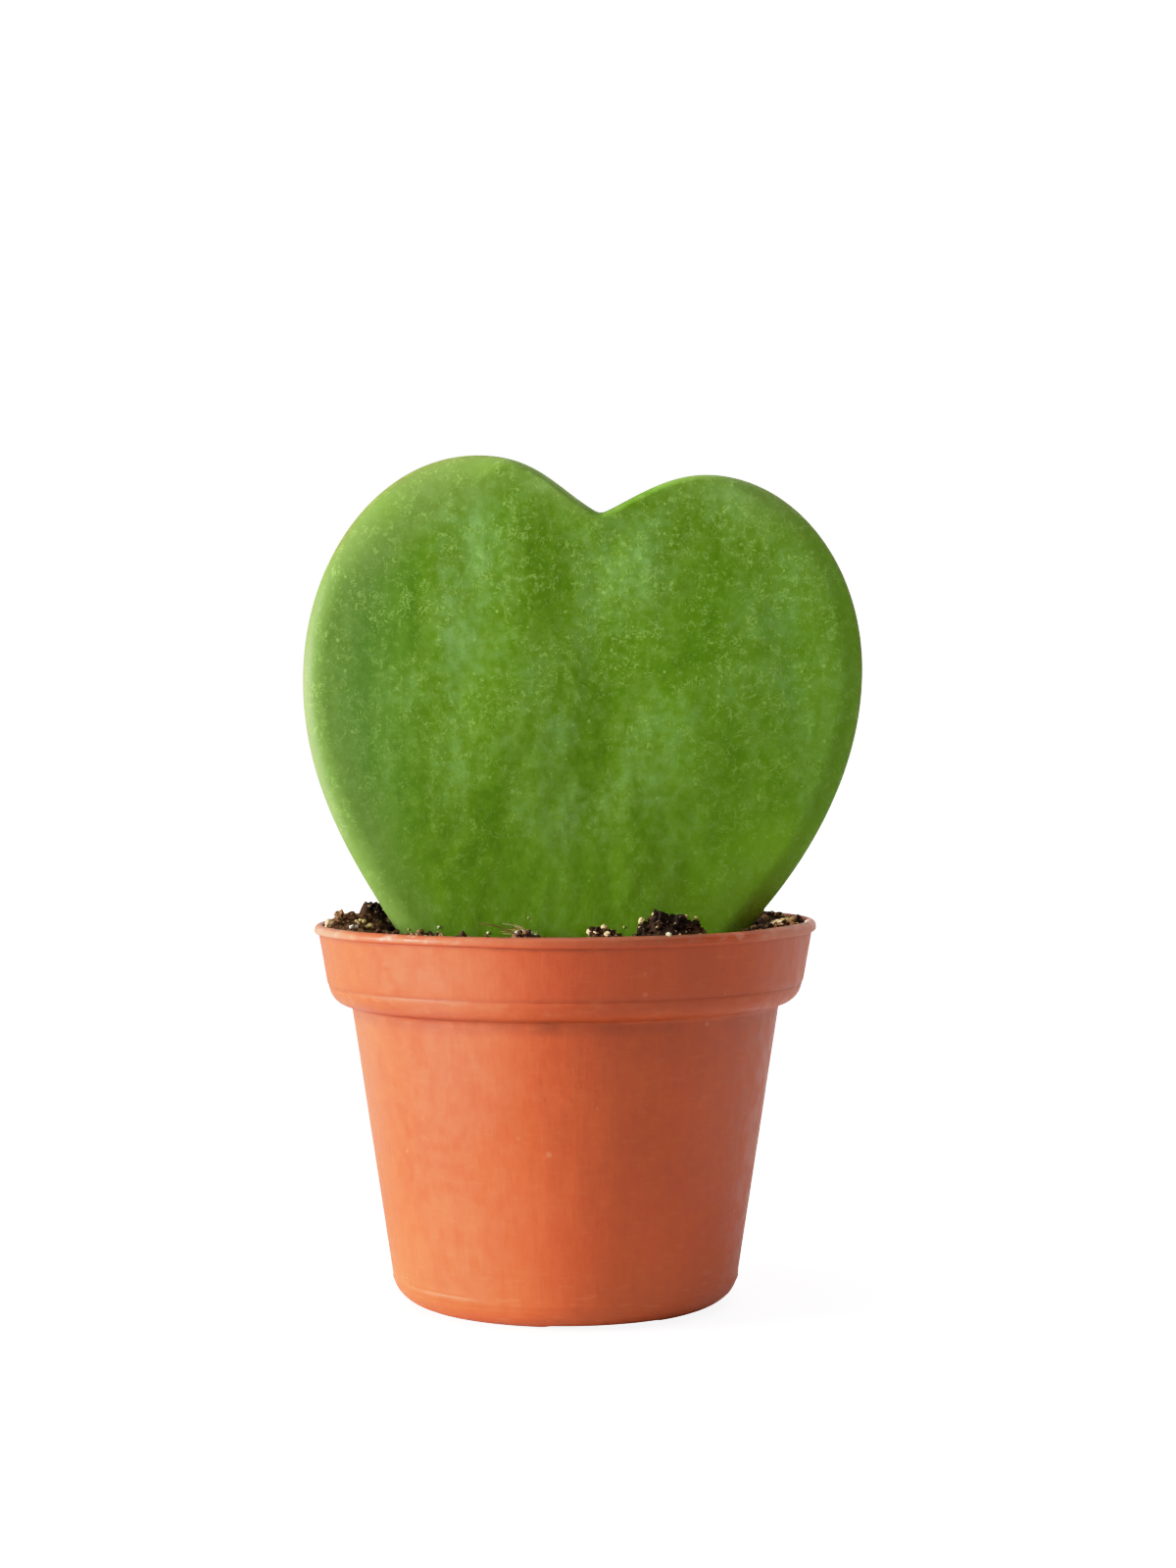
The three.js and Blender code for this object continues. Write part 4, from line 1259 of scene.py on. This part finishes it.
def make_fibres(material, ground):
    """Thin peat fibres, lying and looping on the soil, and a wisp of pale hairs at the foot of the leaf."""
    draw = random.Random(SOIL_SEED + 4)
    routes, wisps = [], []
    foot_x, foot_y, foot_z = WISP_FOOT
    for _ in range(WISPS):
        foot = Vector((foot_x + draw.gauss(0, 0.35), foot_y + draw.gauss(0, 0.2), foot_z))
        share = draw.random() ** 1.7
        side = -2.4 * share + draw.gauss(0, 0.4)
        tip = foot + Vector((side, draw.uniform(0.0, 0.9), 0.3 + 1.6 * share * draw.random()))
        bend = foot.lerp(tip, 0.4) + Vector((draw.gauss(0, 0.7), draw.gauss(0, 0.3), draw.gauss(0.4, 0.5)))
        hook = tip + Vector((draw.gauss(0, 0.5), draw.gauss(0, 0.2), draw.gauss(0, 0.4)))
        wisps.append([Vector(point) for point in bezier(foot, bend, hook, tip, steps=8)])
    for _ in range(FIBRES):
        x, y, _ = soil_spot(draw, 1.5, reach=25, keep_dark=True)
        heading = draw.uniform(0, 2 * math.pi)
        bend = draw.uniform(-0.5, 0.5)
        lift = draw.uniform(0.2, 1.1)
        route = []
        for i in range(9):
            foot = soil_height(x, y) + FIBRE_LIFT
            route.append(Vector((x, y, foot + lift * math.sin(math.pi * i / 8))))
            x += FIBRE_STEP * math.cos(heading)
            y += FIBRE_STEP * math.sin(heading)
            heading += bend
        if all(clear_of_leaf(p.x, p.y, p.z, 0.6) and math.hypot(p.x, p.y) < FIBRE_REACH for p in route):
            routes.append(route)
    strands = [(route, draw.uniform(0.07, 0.13), draw.uniform(0.0, 0.9)) for route in routes]
    lying = len(strands)
    strands.append(([Vector(point) for point in SEEN_FIBRE], 0.08, 0.12))
    strands += [(route, draw.uniform(0.025, 0.042), draw.uniform(0.5, 0.95)) for route in wisps]
    vertices, faces, tints = [], [], []
    for number, (route, radius, tint) in enumerate(strands):
        tube_vertices, tube_faces = tube(route, radius)
        start = len(vertices)
        vertices += settled(tube_vertices, ground) if number < lying else tube_vertices
        faces += [tuple(corner + start for corner in face) for face in tube_faces]
        tints += [tint] * len(tube_vertices)
    fibres = mesh_object("soil_fibres", vertices, faces)
    add_value(fibres, "tint", tints)
    fibres.data.materials.append(material)
    return fibres


# Leaf

def heart_outline():
    """The blade's edge as seen from the front, in (x, z), starting just left of the notch."""
    (left_x, left_z), (right_x, right_z) = LEFT_SIDE, RIGHT_SIDE
    (lt_x, lt_z), (rt_x, rt_z) = LEFT_TOP, RIGHT_TOP
    (base_x, base_z), (n_x, n_z) = BLADE_BASE, NOTCH
    base_left, base_right = base_x - BASE_HALF_WIDTH, base_x + BASE_HALF_WIDTH
    # Each curve's start, its one or two controls, and its end
    curves = [
        [(n_x, n_z), (-0.7, 96.65), (-3.1, lt_z), (lt_x, lt_z)],
        [(lt_x, lt_z), (-22.4, lt_z), (left_x, 88.7), (left_x, left_z)],
        [(left_x, left_z), (left_x, 61.5), (-25.6, 52.3), LEFT_FOOT],
        [LEFT_FOOT, (-14.8, 35.4), (-8, 29), (base_left, base_z + 2)],
        [(base_left, base_z + 2), (base_x - 2, base_z), (base_x, base_z)],
        [(base_x, base_z), (base_x + 2, base_z), (base_right, base_z + 2)],
        [(base_right, base_z + 2), (10.5, 30), (17, 37.8), RIGHT_FOOT],
        [RIGHT_FOOT, (28.2, 51.6), (right_x, 62.3), (right_x, right_z)],
        [(right_x, right_z), (right_x, 88.45), (27.2, rt_z), (rt_x, rt_z)],
        [(rt_x, rt_z), (11.9, rt_z), (8, 95.75), (n_x, n_z)],
    ]
    outline = []
    for controls in curves:
        outline += bezier(*controls, steps=40)[:-1]
    outline = spaced(outline + [outline[0]], 0.02)
    kept = [p for p in outline if math.dist(p, NOTCH) >= NOTCH_ROUND]
    left_end, right_end = kept[0], kept[-1]
    rounded = bezier(right_end, NOTCH, left_end, steps=8)[1:-1]
    line = kept + rounded + [kept[0]]
    return resampled(line, OUTLINE_STEP)


def resampled(line, step):
    """Points evenly spaced along a closed line."""
    lengths = [0.0]
    for a, b in zip(line, line[1:]):
        lengths.append(lengths[-1] + math.dist(a, b))
    count = round(lengths[-1] / step)
    result, k = [], 0
    for i in range(count):
        target = lengths[-1] * i / count
        while lengths[k + 1] < target:
            k += 1
        span = lengths[k + 1] - lengths[k]
        t = (target - lengths[k]) / span if span else 0.0
        a, b = line[k], line[k + 1]
        result.append((a[0] + (b[0] - a[0]) * t, a[1] + (b[1] - a[1]) * t))
    return result


def blade_middle(x):
    """Middle of the blade's thickness, bent back at the sides."""
    half_width = (RIGHT_SIDE[0] - LEFT_SIDE[0]) / 2
    return BLADE_CUP * ((x - BLADE_CENTRE[0]) / half_width) ** 2


def blade_relief(x, z, side):
    """Broad swells beside a shallow midrib, and the soft unevenness of a thick leaf."""
    fade = smoothstep(BLADE_BASE[1] + 10, BLADE_CENTRE[1], z)
    midrib = math.exp(-(((x - NOTCH[0]) / MIDRIB_WIDTH) ** 2))
    swell = math.cos((x - NOTCH[0]) * 0.22)
    broad = fade * (-MIDRIB_DEPTH * midrib - SWELL_HEIGHT * 0.5 * (1 + swell))
    upright = 0.28 * noise.noise(Vector((x * 0.13, z * 0.05, 3.0 + side)))
    dimples = 0.07 * noise.noise(Vector((x * 0.45, z * 0.3, 9.0 + side)))
    return broad + upright + dimples


def blade_shade(x, z, side):
    """How pale the skin is, from 0 to 1: the patches seen in the photograph, or their mirror behind."""
    front_x = x if side < 0 else 2 * BLADE_CENTRE[0] - x
    shade = 0.5 + PALER_UPWARDS * (z - BLADE_CENTRE[1]) + PATCH_SHARE * patches_at(front_x, z, PATCHES)
    shade += SHADE_UNEVEN * noise.noise(Vector((x * 0.22, z * 0.12, 5.0 * side)))
    return min(1.0, max(0.0, shade))


def clear_patch(x, z):
    """Patches of clear green on the upper left margin and the top of the left lobe."""
    return max(patches_at(x, z, [patch]) for patch in CLEAR_PATCHES)


def blade_warmth(x, z, margin):
    """Yellower green along the upper margin."""
    upper = max(zone(x, z, span) for span in WARM_ZONES)
    return WARMTH * max(upper, WARM_ANYWHERE) * margin * (1 - clear_patch(x, z))


def blade_side(x, z, margin):
    """Duller, milky yellow green down the left margin."""
    return grown(x, MILKY_LEFT) * margin * (1 - clear_patch(x, z))


def blade_freshness(x, z, margin):
    """Clearer green along the right margin, beside the notch, at the upper left and low on the blade."""
    right = grown(x, CLEAR_RIGHT) * smoothstep(0.35, 0.8, margin)
    low_right = patches_at(x, z, [LOW_RIGHT_PATCH])
    lobe = zone(x, z, CLEAR_LOBE) * smoothstep(*CLEAR_LOBE_END, x) * margin
    return min(CLEAREST, right + low_right + grown(z, CLEAR_LOW) + lobe + clear_patch(x, z))


def blade_blush(x, z, margin):
    """Reddish brown on the very edge of the upper margins, most at the right, in uneven lengths."""
    uneven = 0.5 + 0.5 * noise.noise(Vector((x * 0.25, z * 0.25, 1.0)))
    strength = BLUSH * max(zone(x, z, BLUSH_RIGHT), grown(z, BLUSH_UPPER))
    return strength * uneven * smoothstep(0.88, 1.0, margin)


def blade_rim_highlight(x, z, margin):
    """A painted highlight: a thin whitish line on the very edge of the lit left side."""
    inset = (1 - margin) / MARGIN_FADE * margin_reach(x, z)
    (low_z, width, strength), *others = RIM_HIGHLIGHT_BANDS
    for next_z, next_width, next_strength in others:
        share = smoothstep(low_z, next_z, z)
        width += (next_width - width) * share
        strength += (next_strength - strength) * share
        low_z = next_z
    return strength * smoothstep(-8, -20, x) * smoothstep(width * 1.3, width * 0.5, inset)


def margin_reach(x, z):
    """How far in from its edge the blade is rounded: farther at the upper left, less far about the notch."""
    narrower = zone(x, z, NARROWER_ZONE) * smoothstep(*NARROWER_END, x)
    return MARGIN_REACH + zone(x, z, WIDER_ZONE) - narrower


def blade_rings():
    """Rings of points from the edge inwards: points, half thickness, share of relief, margin share."""
    outline = [Vector(point) for point in heart_outline()]
    count = len(outline)
    outward = []
    for i in range(count):
        along = (outline[(i + 2) % count] - outline[i - 2]).normalized()
        outward.append(Vector((along.y, -along.x)))
    round_radius = BLADE_THICKNESS / 2
    rings = []
    reaches = [margin_reach(*point) for point in outline]
    for k in range(MARGIN_RINGS + 1):
        turn = math.pi / 2 * k / MARGIN_RINGS
        share = 1 - math.cos(turn)
        points = [point - normal * reach * share for point, normal, reach in zip(outline, outward, reaches)]
        rings.append((points, round_radius * math.sin(turn), 0.0, 1 - MARGIN_FADE * share))
    rim = rings[-1][0]
    centre = Vector(BLADE_CENTRE)
    for k in range(1, INNER_RINGS):
        share = k / INNER_RINGS
        points = [point.lerp(centre, share) for point in rim]
        relief = smoothstep(0, 0.22, share)
        rings.append((points, round_radius, relief, (1 - MARGIN_FADE) * (1 - smoothstep(0, 0.14, share))))
    return rings


def make_blade():
    """The blade's two faces: points, faces of corner numbers, and each point's margin share and side."""
    rings = blade_rings()
    count = len(rings[0][0])
    vertices, faces, marks = [], [], []
    for side in (-1, 1):
        start = len(vertices)
        first_ring = 0 if side < 0 else 1
        for points, half, relief_share, margin in rings[first_ring:]:
            for x, z in points:
                relief = relief_share * blade_relief(x, z, side)
                vertices.append((x, blade_middle(x) + side * (half + relief), z))
                marks.append((margin, side))
        x, z = BLADE_CENTRE
        vertices.append((x, blade_middle(x) + side * (BLADE_THICKNESS / 2 + blade_relief(x, z, side)), z))
        marks.append((0.0, side))
        centre = len(vertices) - 1
        ring_starts = [start + k * count for k in range(len(rings) - first_ring)]
        if side > 0:
            ring_starts.insert(0, 0)
        for low, high in zip(ring_starts, ring_starts[1:]):
            for i in range(count):
                j = (i + 1) % count
                quad = (low + i, low + j, high + j, high + i)
                faces.append(quad if side < 0 else quad[::-1])
        for i in range(count):
            j = (i + 1) % count
            fan = (ring_starts[-1] + i, ring_starts[-1] + j, centre)
            faces.append(fan if side < 0 else fan[::-1])
    return vertices, faces, marks


def make_leaf(skin, root_material):
    """The blade with its buried stalk and roots, as one mesh."""
    vertices, faces, marks = make_blade()
    blade = mesh_object("leaf_blade", vertices, faces)
    places = [(x, z, margin, side) for (x, _, z), (margin, side) in zip(vertices, marks)]
    add_value(blade, "patch", [blade_shade(x, z, side) for x, z, _, side in places])
    for name, amount in (
            ("warm", blade_warmth), ("side", blade_side), ("fresh", blade_freshness), ("blush", blade_blush),
            ("rim", blade_rim_highlight)):
        add_value(blade, name, [amount(x, z, margin) for x, z, margin, _ in places])
    blade.data.materials.append(skin)
    base_x, base_z = BLADE_BASE
    stalk_top = base_z + STALK_OVERLAP
    stalk_bottom = stalk_top - STALK_LENGTH
    section = [
        (0, stalk_bottom), (STALK_RADIUS * STALK_TAPER * 0.8, stalk_bottom),
        (STALK_RADIUS * STALK_TAPER, stalk_bottom + 0.4), (STALK_RADIUS, stalk_top), (0, stalk_top)]
    stalk_vertices, stalk_faces = revolve(spaced(section, 0.5) + [section[-1]], 40)
    parts = [([(x + base_x, y, z) for x, y, z in stalk_vertices], stalk_faces)]
    root_top = stalk_bottom + STALK_RADIUS
    for i in range(ROOTS):
        angle = 2 * math.pi * i / ROOTS + ROOT_TURN
        bends = [
            Vector((base_x + reach * math.cos(angle), reach * math.sin(angle), root_top - drop))
            for reach, drop in ROOT_BENDS]
        route = [Vector(point) for point in bezier(*bends, steps=22)]
        parts.append(tube(route, ROOT_RADIUS, sides=16))
    for number, (part_vertices, part_faces) in enumerate(parts):
        part = mesh_object(f"root_part_{number}", part_vertices, part_faces)
        part.data.materials.append(root_material)
        apply_boolean(blade, part, "UNION")
    blade.data.polygons.foreach_set("use_smooth", [True] * len(blade.data.polygons))
    return blade


# Studio

def make_floor(material):
    """A pale floor, wide enough for every view."""
    vertices, faces = revolve([(FLOOR_RADIUS * share, 0.0) for share in (1.0, 0.3, 0.05, 0.0)], 96)
    floor = mesh_object("studio_floor", vertices, faces)
    floor.data.materials.append(material)


def soft_sun(name, towards, power, spread, shade=(1.0, 1.0, 1.0)):
    """A distant soft light that shines along a direction, from a disc of the sky so many degrees wide."""
    light = bpy.data.lights.new(name, "SUN")
    light.energy = power
    light.angle = math.radians(spread)
    light.color = shade
    lamp = bpy.data.objects.new(name, light)
    lamp.rotation_euler = Vector(towards).to_track_quat("-Z", "Y").to_euler()
    bpy.context.collection.objects.link(lamp)


def make_lights():
    """A low window at the left, soft light from above and a faint fill from behind."""
    soft_sun("key_window", (0.978, 0.208, -0.12), power=9.0, spread=30, shade=(1.0, 0.995, 0.98))
    soft_sun("overhead", (0.1, -0.05, -1.0), power=2.1, spread=90)
    soft_sun("back_fill", (-0.3, -0.8, -0.4), power=0.7, spread=60)
    world = bpy.data.worlds.new("studio")
    world.use_nodes = True
    tree = world.node_tree
    # The backdrop is white to look at, and much dimmer as a light
    seen = add_node(tree, "ShaderNodeLightPath").outputs["Is Camera Ray"]
    strength = map_range(tree, seen, 0.0, 1.0, WORLD_LIGHT, BACKDROP_GLOW)
    fill(tree, tree.nodes["Background"], {"Color": (1.0, 1.0, 1.0, 1.0), "Strength": strength})
    bpy.context.scene.world = world


def make_camera():
    """The camera, as the photograph was taken."""
    camera = bpy.data.cameras.new("photo_camera")
    camera.lens = LENS_MM
    camera.sensor_width = 36.0
    camera.clip_start = 0.01
    eye = bpy.data.objects.new("photo_camera", camera)
    eye.location = (CAMERA_RIGHT * MM, -CAMERA_DISTANCE * MM, CAMERA_HEIGHT * MM)
    eye.rotation_euler = (math.pi / 2 - CAMERA_TILT, 0, 0)
    bpy.context.collection.objects.link(eye)
    bpy.context.scene.camera = eye


def set_response(view):
    """Gives the picture a soft shoulder, as a camera does, so that the pot's bright side keeps its hue."""
    view.view_transform = "Standard"
    view.use_curve_mapping = True
    mapping = view.curve_mapping
    mapping.white_level = (TONE_WHITE, TONE_WHITE, TONE_WHITE)
    points = mapping.curves[3].points
    while len(points) < len(TONES):
        points.new(0.5, 0.5)
    for point, (light, tone) in zip(points, TONES):
        point.location = (light / TONE_WHITE, tone)
        point.handle_type = "VECTOR"
    mapping.update()


make_camera()
make_lights()
set_response(bpy.context.scene.view_settings)
make_floor(studio_white())

groups = {"cloud": cloud_group(), "speck": speck_group(), "grain": grain_group(), "thread": thread_group()}
plastic = pot_plastic(groups)
earth = tinted_matter(groups, "dark potting soil", [
    (0.0, colour(28, 18, 12)), (0.42, colour(88, 61, 42)), (0.7, colour(162, 122, 86)),
    (0.85, colour(204, 168, 120)), (1.0, colour(232, 206, 160))],
    fine=2600.0, bump_mm=0.2, roughness=1.0, sand=0.6)
grit = tinted_matter(groups, "pale grit", [
    (0.0, colour(236, 202, 158)), (0.5, colour(206, 198, 120)), (1.0, colour(240, 236, 222))],
    fine=1800.0, bump_mm=0.08, roughness=0.8)
wood = tinted_matter(groups, "bark and wood", [
    (0.0, colour(84, 54, 32)), (0.55, colour(156, 112, 64)), (0.85, colour(206, 178, 118)),
    (1.0, colour(228, 222, 204))], fine=1500.0, bump_mm=0.1, roughness=0.85)

pot = make_pot(plastic)
soil = make_soil(earth)
leaf = make_leaf(leaf_skin(groups), root_skin(groups))
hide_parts("pot")
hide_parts("soil")
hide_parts("leaf")
bed = faces_of(soil)
bits = [make_crumbs(earth, bed), make_clods(earth, bed)]
ground = faces_of(pot, soil, *bits)
bits += [make_granules(grit, ground, leaf), make_chips(wood, ground), make_fibres(wood, ground)]

for piece in [pot, soil, leaf] + bits:
    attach(piece, "root")
